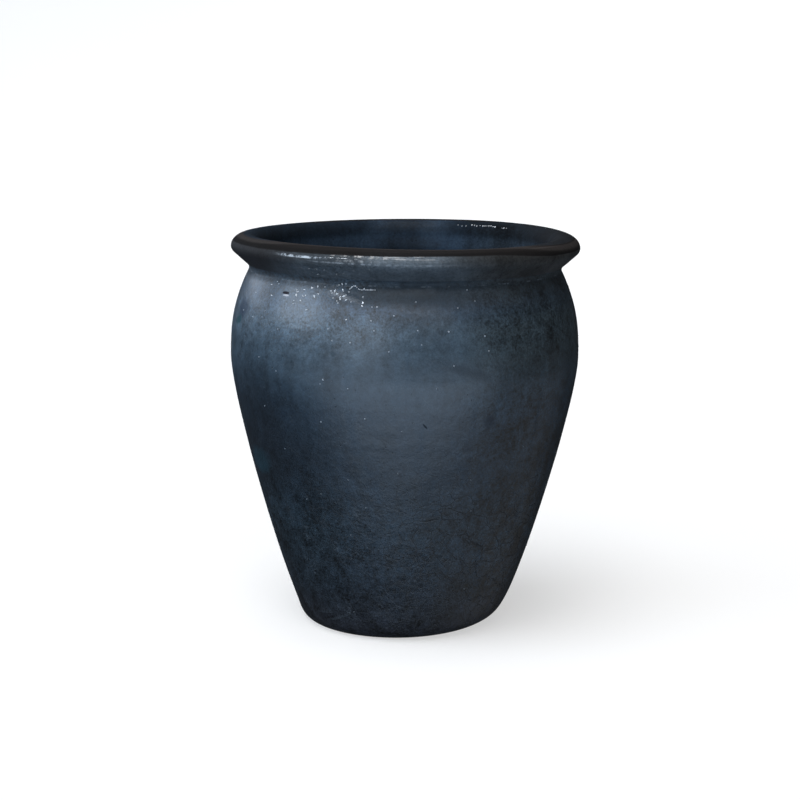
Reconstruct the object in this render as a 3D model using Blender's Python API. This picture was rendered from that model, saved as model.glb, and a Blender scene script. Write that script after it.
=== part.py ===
"""A wide-mouthed glazed clay jar, built from sections turned on the wheel and luted together.

A flat slab with a rounded heel is the floor. The lower wall stands on it and widens to the belly, the
shoulder wall draws in to the neck, and the rim flares out again into a heavy rolled lip. The seams between
them are level, with a thin film of slip in each. Lengths are in metres, +Z is up, and the origin is under
the middle of the foot.
"""

import math

import bmesh
import bpy
from mathutils import Vector

# Foot and heel
FOOT_RADIUS = 0.082
HEEL_ROUNDING = 0.026
SLAB_THICKNESS = 0.014

# Lower wall, which leaves the heel at a lean and is upright at the belly
WALL_LEAN = math.radians(30.3)
HEEL_REACH = 0.0385
BELLY_REACH_BELOW = 0.045
BELLY_RADIUS = 0.177
BELLY_HEIGHT = 0.277

# Shoulder, which is upright at the belly and leans in to the crease of the neck
BELLY_REACH_ABOVE = 0.0295
NECK_REACH = 0.039
NECK_LEAN = math.radians(27.5)
NECK_INSET = 0.0205
SHOULDER_RISE = 0.089
CREASE_REACH = 0.0045
CREASE_FULLNESS = 0.6

# Rim: the collar flares from the neck to the widest part of the lip, and the crown closes it over
COLLAR_RISE = 0.0206
LIP_OVERHANG = 0.0195
LIP_UNDERSIDE_ROUNDING = 0.0068
LIP_CROWN_RISE = 0.0122
LIP_CROWN_WIDTH = 0.0165
LIP_INNER_WIDTH = 0.0127
LIP_INNER_DROP = 0.015
THROAT_REACH = 0.009

# Clay, the cove pressed into the corner inside, and the slip in each seam
WALL_THICKNESS = 0.011
COVE_RISE = 0.012
COVE_RUN = 0.014
COVE_EDGE = 0.0015
COVE_FULLNESS = 2 / 3
SLIP_FILM = 0.0003

# How finely each stretch is drawn, and how near to a seam a point may lie
TURN_STEPS = 64
HEEL_STEPS = 5
WALL_STEPS = 11
SHOULDER_STEPS = 8
CREASE_STEPS = 4
ROLL_STEPS = 5
COVE_STEPS = 4
NEAREST_TO_SEAM = 0.0005
SAME_POINT = 0.000001
SMOOTH_BELOW = math.radians(40)

# Heights of the three seams, and the radii that follow from the belly's
SLAB_SEAM = SLAB_THICKNESS
BELLY_SEAM = BELLY_HEIGHT
NECK_SEAM = BELLY_HEIGHT + SHOULDER_RISE
NECK_RADIUS = BELLY_RADIUS - NECK_INSET
LIP_RADIUS = NECK_RADIUS + LIP_OVERHANG

# Finishes
GLAZE_COLOUR = (0.030, 0.045, 0.064, 1.0)
GLAZE_ROUGHNESS = 0.28
GLAZE_COAT = 0.5
CLAY_COLOUR = (0.230, 0.150, 0.095, 1.0)
CLAY_ROUGHNESS = 0.85
CLAY_COAT = 0.0


def clear_scene():
    """Removes every object that the file opens with."""
    for found in list(bpy.data.objects):
        bpy.data.objects.remove(found, do_unlink=True)


def arc(centre, across, up, start, end, steps):
    """Points (radius, height) along an elliptical arc, from one angle to another."""
    angles = [start + (end - start) * i / steps for i in range(steps + 1)]
    return [Vector((centre[0] + across * math.cos(a), centre[1] + up * math.sin(a))) for a in angles]


def curve(start, start_handle, end_handle, end, steps):
    """Points along a cubic Bezier curve."""
    points = []
    for i in range(steps + 1):
        t = i / steps
        s = 1 - t
        handles = start_handle * (3 * s * s * t) + end_handle * (3 * s * t * t)
        points.append(start * s**3 + handles + end * t**3)
    return points


def plain_wall():
    """The outside of the jar from the edge of its foot up to the neck, where it ends in a corner."""
    centre = Vector((FOOT_RADIUS, HEEL_ROUNDING))
    heel = arc(centre, HEEL_ROUNDING, HEEL_ROUNDING, -math.pi / 2, -WALL_LEAN, HEEL_STEPS)
    belly = Vector((BELLY_RADIUS, BELLY_HEIGHT))
    neck = Vector((NECK_RADIUS, NECK_SEAM))
    along_heel = Vector((math.sin(WALL_LEAN), math.cos(WALL_LEAN)))
    from_neck = Vector((math.sin(NECK_LEAN), -math.cos(NECK_LEAN)))
    lower_handles = heel[-1] + along_heel * HEEL_REACH, belly - Vector((0, BELLY_REACH_BELOW))
    upper_handles = belly + Vector((0, BELLY_REACH_ABOVE)), neck + from_neck * NECK_REACH
    lower = curve(heel[-1], *lower_handles, belly, WALL_STEPS)
    shoulder = curve(belly, *upper_handles, neck, SHOULDER_STEPS)
    return heel + lower[1:] + shoulder[1:]


def plain_collar():
    """The flared outside of the rim, from the neck to the widest part of the lip.

    The flare is straight, and meets the small roll under the lip as a tangent.
    """
    neck = Vector((NECK_RADIUS, NECK_SEAM))
    rounding = LIP_UNDERSIDE_ROUNDING
    centre = Vector((LIP_RADIUS - rounding, NECK_SEAM + COLLAR_RISE))
    to_centre = centre - neck
    bearing = math.atan2(to_centre.y, to_centre.x) - math.asin(rounding / to_centre.length)
    return [neck] + arc(centre, rounding, rounding, bearing - math.pi / 2, 0, ROLL_STEPS)


def outside():
    """The whole outside, from the edge of the foot to the widest part of the lip.

    A small fillet takes the place of the corner at the neck.
    """
    wall, collar = plain_wall(), plain_collar()
    neck = wall[-1]
    low = neck + (wall[-2] - neck).normalized() * CREASE_REACH
    high = neck + (collar[1] - neck).normalized() * CREASE_REACH
    handles = low.lerp(neck, CREASE_FULLNESS), high.lerp(neck, CREASE_FULLNESS)
    return wall[:-1] + curve(low, *handles, high, CREASE_STEPS) + collar[1:]


def inset(points, depth):
    """The same curve, moved by this depth towards the hollow."""
    moved = []
    for i, point in enumerate(points):
        along = (points[min(i + 1, len(points) - 1)] - points[max(i - 1, 0)]).normalized()
        moved.append(point + Vector((-along.y, along.x)) * depth)
    return moved


def at_height(points, height):
    """The point of a rising curve at this height; past either end the curve runs on straight."""
    i = 1
    while i < len(points) - 1 and points[i].y < height:
        i += 1
    low, high = points[i - 1], points[i]
    return low + (high - low) * ((height - low.y) / (high.y - low.y))


def between(points, low, high):
    """The stretch of a rising curve between two heights."""
    spare = NEAREST_TO_SEAM
    inside = [point for point in points if low + spare < point.y < high - spare]
    return [at_height(points, low)] + inside + [at_height(points, high)]


def inner_wall():
    """The inside of the wall from the floor to the neck, with the cove at its foot."""
    wall = inset(plain_wall()[HEEL_STEPS:], WALL_THICKNESS)
    cove_top = at_height(wall, SLAB_SEAM + COVE_RISE)
    slope = at_height(wall, SLAB_SEAM + 2 * COVE_RISE) - cove_top
    buried = SLAB_SEAM - COVE_EDGE
    corner = cove_top - slope * ((cove_top.y - buried) / slope.y)
    toe = corner - Vector((COVE_RUN, 0))
    handles = toe.lerp(corner, COVE_FULLNESS), cove_top.lerp(corner, COVE_FULLNESS)
    cove = curve(toe, *handles, cove_top, COVE_STEPS)
    return cove + between(wall, cove_top.y, NECK_SEAM)[1:]


def wall_section(low, high):
    """The cross-section of a wall between two seams: up the inside and down the outside."""
    return between(inner_wall(), low, high) + between(outside(), low, high)[::-1]


def slab_section():
    """The cross-section of the floor slab, from its middle on top to its middle underneath."""
    top = SLAB_SEAM
    edge = between(outside(), 0, top)[::-1]
    return [Vector((0, top))] + edge + [Vector((0, 0))]


def rim_section():
    """The cross-section of the rim: up the inside, over the lip and down the collar."""
    seam = NECK_SEAM + SLIP_FILM
    widest = NECK_SEAM + COLLAR_RISE
    crest = LIP_RADIUS - LIP_CROWN_WIDTH
    throat = Vector((at_height(inner_wall(), NECK_SEAM).x, seam))
    collar = between(outside(), seam, widest)
    crown = arc((crest, widest), LIP_CROWN_WIDTH, LIP_CROWN_RISE, 0, math.pi / 2, ROLL_STEPS)
    inner_lip = widest + LIP_CROWN_RISE - LIP_INNER_DROP
    inside = arc((crest, inner_lip), LIP_INNER_WIDTH, LIP_INNER_DROP, math.pi / 2, math.pi, ROLL_STEPS)
    into_throat = Vector((-math.sin(NECK_LEAN), math.cos(NECK_LEAN))) * THROAT_REACH
    upright = Vector((0, THROAT_REACH))
    bore = curve(inside[-1], inside[-1] - upright, throat + into_throat, throat, ROLL_STEPS)
    return (collar + crown[1:] + inside[1:] + bore[1:])[::-1]


def material(name, colour, roughness, coat):
    """A Principled material with a colour, a roughness and a clear coat."""
    made = bpy.data.materials.new(name)
    made.use_nodes = True
    shader = made.node_tree.nodes["Principled BSDF"]
    shader.inputs["Base Color"].default_value = colour
    shader.inputs["Roughness"].default_value = roughness
    shader.inputs["Coat Weight"].default_value = coat
    made.diffuse_color = colour
    return made


def turned(name, section, finish, closed=True):
    """An object turned on the axis from a cross-section, closed or with both its ends on the axis."""
    shape = bmesh.new()
    verts = [shape.verts.new((point.x, 0, point.y)) for point in section]
    edges = [shape.edges.new(pair) for pair in zip(verts, verts[1:])]
    if closed:
        edges.append(shape.edges.new((verts[-1], verts[0])))
    bmesh.ops.spin(
        shape,
        geom=verts + edges,
        cent=(0, 0, 0),
        axis=(0, 0, 1),
        angle=2 * math.pi,
        steps=TURN_STEPS,
        use_merge=True,
    )
    bmesh.ops.remove_doubles(shape, verts=shape.verts, dist=SAME_POINT)
    bmesh.ops.recalc_face_normals(shape, faces=shape.faces)
    mesh = bpy.data.meshes.new(name)
    shape.to_mesh(mesh)
    shape.free()
    mesh.shade_smooth()
    mesh.set_sharp_from_angle(angle=SMOOTH_BELOW)
    mesh.materials.append(finish)
    made = bpy.data.objects.new(name, mesh)
    bpy.context.scene.collection.objects.link(made)
    return made


def build():
    """Turns the four sections of the jar."""
    clear_scene()
    glaze = material("glaze", GLAZE_COLOUR, GLAZE_ROUGHNESS, GLAZE_COAT)
    clay = material("bare_clay", CLAY_COLOUR, CLAY_ROUGHNESS, CLAY_COAT)
    turned("base_slab", slab_section(), clay, closed=False)
    turned("lower_wall", wall_section(SLAB_SEAM + SLIP_FILM, BELLY_SEAM), glaze)
    turned("shoulder_wall", wall_section(BELLY_SEAM + SLIP_FILM, NECK_SEAM), glaze)
    turned("rolled_rim", rim_section(), glaze)


build()
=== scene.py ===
"""Looks of the wide-mouthed clay jar: turned clay under a crazed, slate-blue glaze, in a plain studio.

The jar is drawn as four turned sections that meet in closed seams: the clay foot, the outer wall, the
rim with its rolled lip, and the inner wall with the floor. A Geometry Nodes tree turns each of them
from its profile and adds the marks of the hand. Another sets the pimples and beads of glaze on them,
with painted glints on their tips and painted shadow round their feet.
Lengths are in metres, +Z is up, and the camera of the photograph looks along +Y.
"""

import logging
import math
from collections.abc import Sequence
from dataclasses import dataclass, field, fields
from enum import Enum
from functools import cached_property
from typing import Any

import bpy
import numpy as np
from mathutils import Matrix, Vector
from mathutils.bvhtree import BVHTree


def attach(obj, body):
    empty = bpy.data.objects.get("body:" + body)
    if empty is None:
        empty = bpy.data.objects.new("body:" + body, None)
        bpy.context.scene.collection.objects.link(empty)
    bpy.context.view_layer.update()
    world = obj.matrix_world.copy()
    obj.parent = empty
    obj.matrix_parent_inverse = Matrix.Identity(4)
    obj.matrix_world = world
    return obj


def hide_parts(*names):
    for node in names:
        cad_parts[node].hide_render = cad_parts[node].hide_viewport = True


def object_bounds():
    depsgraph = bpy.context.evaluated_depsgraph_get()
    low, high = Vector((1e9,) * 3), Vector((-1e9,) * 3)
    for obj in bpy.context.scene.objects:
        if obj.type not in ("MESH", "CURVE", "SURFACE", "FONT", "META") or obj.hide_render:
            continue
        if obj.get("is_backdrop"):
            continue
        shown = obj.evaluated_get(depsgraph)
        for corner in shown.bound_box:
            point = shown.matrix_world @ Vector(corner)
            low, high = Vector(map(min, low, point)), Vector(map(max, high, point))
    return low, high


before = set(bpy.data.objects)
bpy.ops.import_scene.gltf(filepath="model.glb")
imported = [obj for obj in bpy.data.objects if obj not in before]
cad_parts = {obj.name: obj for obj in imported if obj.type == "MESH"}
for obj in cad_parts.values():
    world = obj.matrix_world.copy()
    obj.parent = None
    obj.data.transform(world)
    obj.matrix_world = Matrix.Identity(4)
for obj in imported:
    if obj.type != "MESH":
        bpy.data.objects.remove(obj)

LOG = logging.getLogger("clay_jar")
BODY = "root"
BAKE_MAP = "OFBake"

Colour = tuple[float, float, float]
Profile = list[Vector]
Inputs = dict[str | int, Any]
Zone = tuple[float, float]

BLACK = (0.0, 0.0, 0.0)
WHITE = (1.0, 1.0, 1.0)
SEAM_STEPS_PER_METRE = 1e5
FULL_TURN = 2 * math.pi
QUARTER_TURN = math.pi / 2


class Slot(Enum):
    """The record's material slots."""

    GLAZE = "glaze"
    CLAY = "bare_clay"


class Region(Enum):
    """The stretches of the jar that a finish tells apart."""

    OUTSIDE = "outside"
    LIP = "lip"
    INSIDE = "inside"
    PIMPLES = "pimples"
    BEADS = "beads"


# Node trees


class Signal:
    """A socket of a node tree, as a value in an expression: its operators add Math nodes."""

    def __init__(self, bench: "Bench", socket: bpy.types.NodeSocket) -> None:
        """Wraps one output socket.

        Args:
            bench: The tree's bench, which adds the nodes.
            socket: The output that carries the value.
        """
        self.bench = bench
        self.socket = socket

    @property
    def is_vector(self) -> bool:
        """Whether the socket carries three numbers."""
        return self.socket.type in ("VECTOR", "RGBA")

    def _joined(self, operation: str, first: Any, second: Any) -> "Signal":
        """Adds the node of one operator.

        Args:
            operation: The operation's name, the same for numbers and vectors.
            first: The left-hand side.
            second: The right-hand side.

        Returns:
            The result.
        """
        sides = [side for side in (first, second) if isinstance(side, Signal)]
        if any(side.is_vector for side in sides):
            kind = "ShaderNodeVectorMath"
            first, second = (
                (side,) * 3 if isinstance(side, (int, float)) else side for side in (first, second)
            )
        else:
            kind = "ShaderNodeMath"
        return self.bench.value(kind, {"operation": operation}, {0: first, 1: second})

    def __add__(self, other: Any) -> "Signal":
        """The sum."""
        return self._joined("ADD", self, other)

    def __radd__(self, other: Any) -> "Signal":
        """The sum, from the right."""
        return self._joined("ADD", other, self)

    def __sub__(self, other: Any) -> "Signal":
        """The difference."""
        return self._joined("SUBTRACT", self, other)

    def __rsub__(self, other: Any) -> "Signal":
        """The difference, from the right."""
        return self._joined("SUBTRACT", other, self)

    def __mul__(self, other: Any) -> "Signal":
        """The product."""
        return self._joined("MULTIPLY", self, other)

    def __truediv__(self, other: Any) -> "Signal":
        """The quotient."""
        return self._joined("DIVIDE", self, other)

    def __rtruediv__(self, other: Any) -> "Signal":
        """The quotient, from the right."""
        return self._joined("DIVIDE", other, self)

    def __neg__(self) -> "Signal":
        """The negative."""
        return self._joined("MULTIPLY", self, -1.0)


@dataclass(frozen=True)
class Grain:
    """A field of smooth noise: its grains in a metre, its finer layers, its seed and its flattening."""

    per_metre: Any
    detail: float = 3.0
    roughness: float = 0.5
    seed: Any = 0.0
    flattening: float = 1.0


class Bench:
    """Adds nodes to one tree, of a material or of Geometry Nodes."""

    def __init__(self, tree: bpy.types.NodeTree) -> None:
        """Takes the tree and clears it."""
        self.tree = tree
        self.tree.nodes.clear()

    @staticmethod
    def _socket(sockets: Any, key: str | int) -> bpy.types.NodeSocket:
        """Finds a socket.

        Args:
            sockets: A node's inputs or outputs.
            key: The socket's index, or its name.

        Returns:
            The socket with this index, or the one of this name that is in use.
        """
        if isinstance(key, int):
            return sockets[key]
        return next(socket for socket in sockets if socket.name == key and socket.enabled)

    def add(self, kind: str, settings: dict[str, Any], inputs: Inputs) -> bpy.types.Node:
        """Adds one node.

        Args:
            kind: The node's type.
            settings: Its properties, set first; "stops" holds a ramp's positions and colours.
            inputs: Values, signals or sockets for its inputs, by name or index.

        Returns:
            The node.
        """
        node = self.tree.nodes.new(kind)
        for name, setting in settings.items():
            if name == "stops":
                self._set_stops(node.color_ramp, setting)
            else:
                setattr(node, name, setting)
        for key, given in inputs.items():
            socket = self._socket(node.inputs, key)
            if isinstance(given, Signal):
                self.tree.links.new(given.socket, socket)
            elif isinstance(given, bpy.types.NodeSocket):
                self.tree.links.new(given, socket)
            else:
                socket.default_value = given
        return node

    @staticmethod
    def _set_stops(ramp: bpy.types.ColorRamp, stops: Sequence[tuple[float, Colour]]) -> None:
        """Gives a colour ramp its stops.

        Args:
            ramp: The ramp.
            stops: The position and the colour of each stop, from the lowest to the highest.
        """
        while len(ramp.elements) > 1:
            ramp.elements.remove(ramp.elements[-1])
        ramp.elements[0].position = stops[0][0]
        ramp.elements[0].color = (*stops[0][1], 1.0)
        for position, colour in stops[1:]:
            ramp.elements.new(position).color = (*colour, 1.0)

    def value(self, kind: str, settings: dict[str, Any], inputs: Inputs, output: str | int = 0) -> Signal:
        """Adds one node and gives one of its outputs.

        Args:
            kind: The node's type.
            settings: Its properties.
            inputs: What its inputs take.
            output: The name or index of the output.

        Returns:
            The output, as a signal.
        """
        return Signal(self, self._socket(self.add(kind, settings, inputs).outputs, output))

    def function(self, operation: str, *sides: Any) -> Signal:
        """A Math node with this operation, on one or two numbers."""
        return self.value("ShaderNodeMath", {"operation": operation}, dict(enumerate(sides)))

    def step(self, value: Signal, low: float, high: float, smooth: bool = True) -> Signal:
        """Rises from 0 to 1 as the value goes from low to high.

        Args:
            value: What is compared.
            low: Where the step starts; it may lie above high, and the step then falls.
            high: Where it ends.
            smooth: Whether the step eases in and out.

        Returns:
            A number from 0 to 1.
        """
        kind = "SMOOTHSTEP" if smooth else "LINEAR"
        inputs = {"Value": value, "From Min": low, "From Max": high, "To Min": 0.0, "To Max": 1.0}
        if low > high:
            inputs.update({"From Min": high, "From Max": low, "To Min": 1.0, "To Max": 0.0})
        return self.value("ShaderNodeMapRange", {"interpolation_type": kind}, inputs, "Result")

    def noise(self, at: Signal, grain: Grain) -> Signal:
        """Smooth noise around 0.

        Args:
            at: The place it is read at.
            grain: Which field of noise it is.

        Returns:
            A number from about -1 to 1.
        """
        if grain.flattening != 1.0:
            at = at * (1.0, 1.0, grain.flattening)
        inputs = {
            "Vector": at,
            "W": grain.seed,
            "Scale": grain.per_metre,
            "Detail": grain.detail,
            "Roughness": grain.roughness,
        }
        return self.value("ShaderNodeTexNoise", {"noise_dimensions": "4D"}, inputs, 0) * 2.0 - 1.0

    def cells(self, at: Signal, per_metre: float, feature: str, output: str) -> Signal:
        """Voronoi cells.

        Args:
            at: The place they are read at.
            per_metre: Cells in a metre.
            feature: Which feature of the cells, such as F1 or DISTANCE_TO_EDGE.
            output: The output to take.

        Returns:
            The output.
        """
        inputs = {"Vector": at, "Scale": per_metre, "Randomness": 1.0}
        return self.value("ShaderNodeTexVoronoi", {"feature": feature}, inputs, output)

    def scattered(self, at: Signal, per_metre: float, width: Zone, drawn: Zone) -> Signal:
        """Dots in a few of many small cells.

        Args:
            at: The place they are read at.
            per_metre: Cells in a metre.
            width: How far from its cell's middle a dot ends, and where it is full.
            drawn: Each cell draws a number from 0 to 1: up to the first of these it stays empty, and
                from the second on it has a dot.

        Returns:
            1 in a dot, and 0 beside it.
        """
        near = self.cells(at, per_metre, "F1", "Distance")
        middle = self.cells(at, per_metre, "F1", "Position")
        draw = {"noise_dimensions": "3D"}
        number = self.value("ShaderNodeTexWhiteNoise", draw, {"Vector": middle}, "Value")
        return self.step(near, *width) * self.step(number, *drawn, smooth=False)

    def blend(self, share: Any, first: Any, second: Any) -> Signal:
        """Mixes two colours.

        Args:
            share: How much of the second colour there is, from 0 to 1.
            first: A colour or a signal.
            second: A colour or a signal.

        Returns:
            The mixed colour.
        """
        sides = [side if isinstance(side, Signal) else (*side, 1.0) for side in (first, second)]
        inputs = {"Factor": share, "A": sides[0], "B": sides[1]}
        return self.value("ShaderNodeMix", {"data_type": "RGBA", "clamp_factor": True}, inputs, "Result")

    def vector(self, x: Any, y: Any, z: Any) -> Signal:
        """Three numbers as one vector."""
        return self.value("ShaderNodeCombineXYZ", {}, {0: x, 1: y, 2: z})

    def dot(self, first: Signal, second: Vector) -> Signal:
        """The dot product of a vector with a fixed one."""
        inputs = {0: first, 1: tuple(second)}
        return self.value("ShaderNodeVectorMath", {"operation": "DOT_PRODUCT"}, inputs, "Value")

    def parts(self, vector: Signal) -> tuple[Signal, Signal, Signal]:
        """The three numbers of a vector."""
        node = self.add("ShaderNodeSeparateXYZ", {}, {0: vector})
        return tuple(Signal(self, socket) for socket in node.outputs)

    def length(self, *sides: Signal) -> Signal:
        """The length of a vector, from two or three numbers."""
        first, second, *rest = sides
        return self.function("SQRT", sum((side * side for side in rest), first * first + second * second))

    def stored(self, name: str, kind: str = "FLOAT") -> Signal:
        """The attribute with this name, in Geometry Nodes."""
        settings = {"data_type": kind}
        return self.value("GeometryNodeInputNamedAttribute", settings, {"Name": name}, "Attribute")

    def store(
        self, geometry: Any, name: str, value: Signal, kind: str = "FLOAT", domain: str = "POINT"
    ) -> Signal:
        """Keeps a value on a geometry under a name.

        Args:
            geometry: The geometry.
            name: The attribute's name.
            value: The value.
            kind: The attribute's type.
            domain: What each value belongs to.

        Returns:
            The geometry with the attribute.
        """
        inputs = {"Geometry": geometry, "Name": name, "Value": value}
        return self.value("GeometryNodeStoreNamedAttribute", {"data_type": kind, "domain": domain}, inputs)

    def sampled(self, geometry: Signal, value: Signal, index: Signal, kind: str = "FLOAT") -> Signal:
        """A value of a geometry, at the point with this index.

        Args:
            geometry: The geometry.
            value: The value.
            index: The point's index.
            kind: The value's type.

        Returns:
            The value there.
        """
        settings = {"data_type": kind, "domain": "POINT", "clamp": True}
        inputs = {"Geometry": geometry, "Value": value, "Index": index}
        return self.value("GeometryNodeSampleIndex", settings, inputs)

    def bump(self, height: Signal) -> Signal:
        """The normal that a height in metres gives."""
        inputs = {"Strength": 1.0, "Distance": 1.0, "Height": height}
        return self.value("ShaderNodeBump", {}, inputs, "Normal")

    def principled(self, inputs: Inputs) -> bpy.types.NodeSocket:
        """The shader of a Principled node."""
        return self.add("ShaderNodeBsdfPrincipled", {}, inputs).outputs[0]

    def finish(self, shader: bpy.types.NodeSocket) -> None:
        """Gives the shader to the material."""
        self.add("ShaderNodeOutputMaterial", {}, {"Surface": shader})


def fresh_material(name: str) -> tuple[bpy.types.Material, Bench, Signal]:
    """Makes a material with an empty tree.

    Args:
        name: Its name.

    Returns:
        The material, its bench, and the place on the object.
    """
    made = bpy.data.materials.new(name)
    made.use_nodes = True
    bench = Bench(made.node_tree)
    return made, bench, bench.value("ShaderNodeTexCoord", {}, {}, "Object")


# The photograph's camera


@dataclass(frozen=True)
class PhotoCamera:
    """The camera that a fit of the jar's outline to the photograph gave."""

    place: Vector = Vector((0.0, -1.77, 0.559))
    pitch: float = 0.1855
    yaw: float = 0.00242
    roll: float = 0.00869
    focal_pixels: float = 1750.4
    picture_side: float = 800.0
    sensor: float = 36.0

    def axes(self) -> tuple[Vector, Vector, Vector]:
        """How the camera is turned.

        Returns:
            The directions of the picture's right, its top and its middle.
        """
        ahead = Vector((-math.sin(self.yaw), math.cos(self.yaw), 0.0))
        aside = Vector((math.cos(self.yaw), math.sin(self.yaw), 0.0))
        forward = ahead * math.cos(self.pitch) - Vector((0, 0, math.sin(self.pitch)))
        up = ahead * math.sin(self.pitch) + Vector((0, 0, math.cos(self.pitch)))
        right = aside * math.cos(self.roll) + up * math.sin(self.roll)
        top = up * math.cos(self.roll) - aside * math.sin(self.roll)
        return right, top, forward

    def ray(self, x: float, y: float) -> Vector:
        """The direction in which a pixel of the photograph looks.

        Args:
            x: The pixel's column.
            y: The pixel's row.

        Returns:
            The direction from the camera.
        """
        right, top, forward = self.axes()
        middle = self.picture_side / 2
        across, down = ((side - middle) / self.focal_pixels for side in (x, y))
        return (forward + right * across - top * down).normalized()

    def build(self) -> bpy.types.Object:
        """Makes the camera and gives it to the scene.

        Returns:
            The camera's object.
        """
        right, top, forward = self.axes()
        data = bpy.data.cameras.new("photo_camera")
        data.sensor_width = self.sensor
        data.lens = self.focal_pixels * self.sensor / self.picture_side
        camera = bpy.data.objects.new("photo_camera", data)
        turned = Matrix((right, top, -forward)).transposed()
        camera.matrix_world = Matrix.Translation(self.place) @ turned.to_4x4()
        bpy.context.scene.collection.objects.link(camera)
        bpy.context.scene.camera = camera
        return camera


# The jar's shape


@dataclass(frozen=True)
class Steps:
    """How many stretches each part of the profile is drawn in."""

    foot: int = 44
    heel_bare: int = 8
    heel_glazed: int = 16
    heel_whole: int = 30
    wall: int = 118
    shoulder: int = 48
    crease: int = 12
    collar: int = 22
    roll: int = 10
    crown: int = 22
    inner_lip: int = 20
    bore: int = 16
    cove: int = 14
    floor: int = 16


@dataclass(frozen=True)
class JarShape:
    """The profile of the jar, drawn from the same sizes as its CAD sections."""

    foot_radius: float = 0.082
    heel_rounding: float = 0.026
    wall_lean: float = math.radians(30.3)
    heel_reach: float = 0.0385
    belly_reach_below: float = 0.045
    belly_radius: float = 0.177
    belly_height: float = 0.277
    belly_reach_above: float = 0.0295
    neck_reach: float = 0.039
    neck_lean: float = math.radians(27.5)
    neck_radius: float = 0.1565
    neck_height: float = 0.366
    crease_reach: float = 0.0045
    collar_rise: float = 0.0206
    lip_radius: float = 0.176
    lip_underside: float = 0.0068
    crown_rise: float = 0.0122
    crown_width: float = 0.0165
    inner_width: float = 0.0127
    inner_drop: float = 0.015
    throat_reach: float = 0.009
    wall_thickness: float = 0.011
    floor_height: float = 0.014
    cove_rise: float = 0.012
    cove_run: float = 0.014
    glaze_line: float = 0.0016
    crease_fullness: float = 0.6
    cove_fullness: float = 2 / 3
    clear_below: float = 0.0005
    clear_above: float = 0.0004
    steps: Steps = Steps()

    @property
    def crest(self) -> float:
        """The radius at the top of the lip."""
        return self.lip_radius - self.crown_width

    @property
    def widest(self) -> float:
        """The height at which the lip is widest."""
        return self.neck_height + self.collar_rise

    @staticmethod
    def arc(centre: Vector, across: float, up: float, start: float, end: float, steps: int) -> Profile:
        """Points (radius, height) along an elliptical arc.

        Args:
            centre: The ellipse's centre.
            across: Its half-width.
            up: Its half-height.
            start: The first angle.
            end: The last angle.
            steps: The number of stretches.

        Returns:
            The points.
        """
        angles = [start + (end - start) * i / steps for i in range(steps + 1)]
        return [centre + Vector((across * math.cos(a), up * math.sin(a))) for a in angles]

    @staticmethod
    def curve(start: Vector, first: Vector, second: Vector, end: Vector, steps: int) -> Profile:
        """Points along a cubic Bezier curve.

        Args:
            start: The first point.
            first: Its handle.
            second: The last point's handle.
            end: The last point.
            steps: The number of stretches.

        Returns:
            The points.
        """
        points = []
        for i in range(steps + 1):
            t = i / steps
            s = 1 - t
            points.append(start * s**3 + first * (3 * s * s * t) + second * (3 * s * t * t) + end * t**3)
        return points

    def heel(self, start: float, end: float, steps: int) -> Profile:
        """The stretch of the rounded heel between two angles."""
        centre = Vector((self.foot_radius, self.heel_rounding))
        return self.arc(centre, self.heel_rounding, self.heel_rounding, start, end, steps)

    def glaze_angle(self) -> float:
        """The angle on the heel at which the glaze stops."""
        return -math.asin(1 - self.glaze_line / self.heel_rounding)

    def wall(self) -> Profile:
        """The outside of the wall from the top of the heel to the neck, as the CAD has it.

        Returns:
            The stretch of the profile.
        """
        start = self.heel(-self.wall_lean, -self.wall_lean, 1)[0]
        belly = Vector((self.belly_radius, self.belly_height))
        neck = Vector((self.neck_radius, self.neck_height))
        along_heel = Vector((math.sin(self.wall_lean), math.cos(self.wall_lean)))
        below = belly - Vector((0, self.belly_reach_below))
        above = belly + Vector((0, self.belly_reach_above))
        into_neck = neck + Vector((math.sin(self.neck_lean), -math.cos(self.neck_lean))) * self.neck_reach
        lower = self.curve(start, start + along_heel * self.heel_reach, below, belly, self.steps.wall)
        return lower + self.curve(belly, above, into_neck, neck, self.steps.shoulder)[1:]

    def collar(self) -> Profile:
        """The straight flare of the collar and the roll under the lip, from the neck on.

        Returns:
            The stretch of the profile.
        """
        neck = Vector((self.neck_radius, self.neck_height))
        centre = Vector((self.lip_radius - self.lip_underside, self.widest))
        away = centre - neck
        rounding, steps = self.lip_underside, self.steps
        bearing = math.atan2(away.y, away.x) - math.asin(rounding / away.length)
        roll = self.arc(centre, rounding, rounding, bearing - QUARTER_TURN, 0, steps.roll)
        return [neck.lerp(roll[0], i / steps.collar) for i in range(steps.collar)] + roll

    def crease(self) -> Profile:
        """The rounded inner corner between the shoulder and the collar.

        Returns:
            The stretch of the profile.
        """
        wall, collar = self.wall(), self.collar()
        neck = wall[-1]
        low = neck + (wall[-2] - neck).normalized() * self.crease_reach
        high = neck + (collar[1] - neck).normalized() * self.crease_reach
        handles = low.lerp(neck, self.crease_fullness), high.lerp(neck, self.crease_fullness)
        return self.curve(low, *handles, high, self.steps.crease)

    def outside(self) -> Profile:
        """From the glaze line under the heel up to the start of the collar.

        Returns:
            The stretch of the profile.
        """
        crease = self.crease()
        wall = [point for point in self.wall() if point.y < crease[0].y - self.clear_below]
        return self.heel(self.glaze_angle(), -self.wall_lean, self.steps.heel_glazed)[:-1] + wall + crease

    def inner(self) -> Profile:
        """The inside of the wall from the cove up to the neck.

        Returns:
            The stretch of the profile.
        """
        points = self.wall()
        moved = []
        for i, point in enumerate(points):
            along = (points[min(i + 1, len(points) - 1)] - points[max(i - 1, 0)]).normalized()
            moved.append(point + Vector((-along.y, along.x)) * self.wall_thickness)
        return [point for point in moved if point.y > self.floor_height + self.cove_rise]

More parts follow.
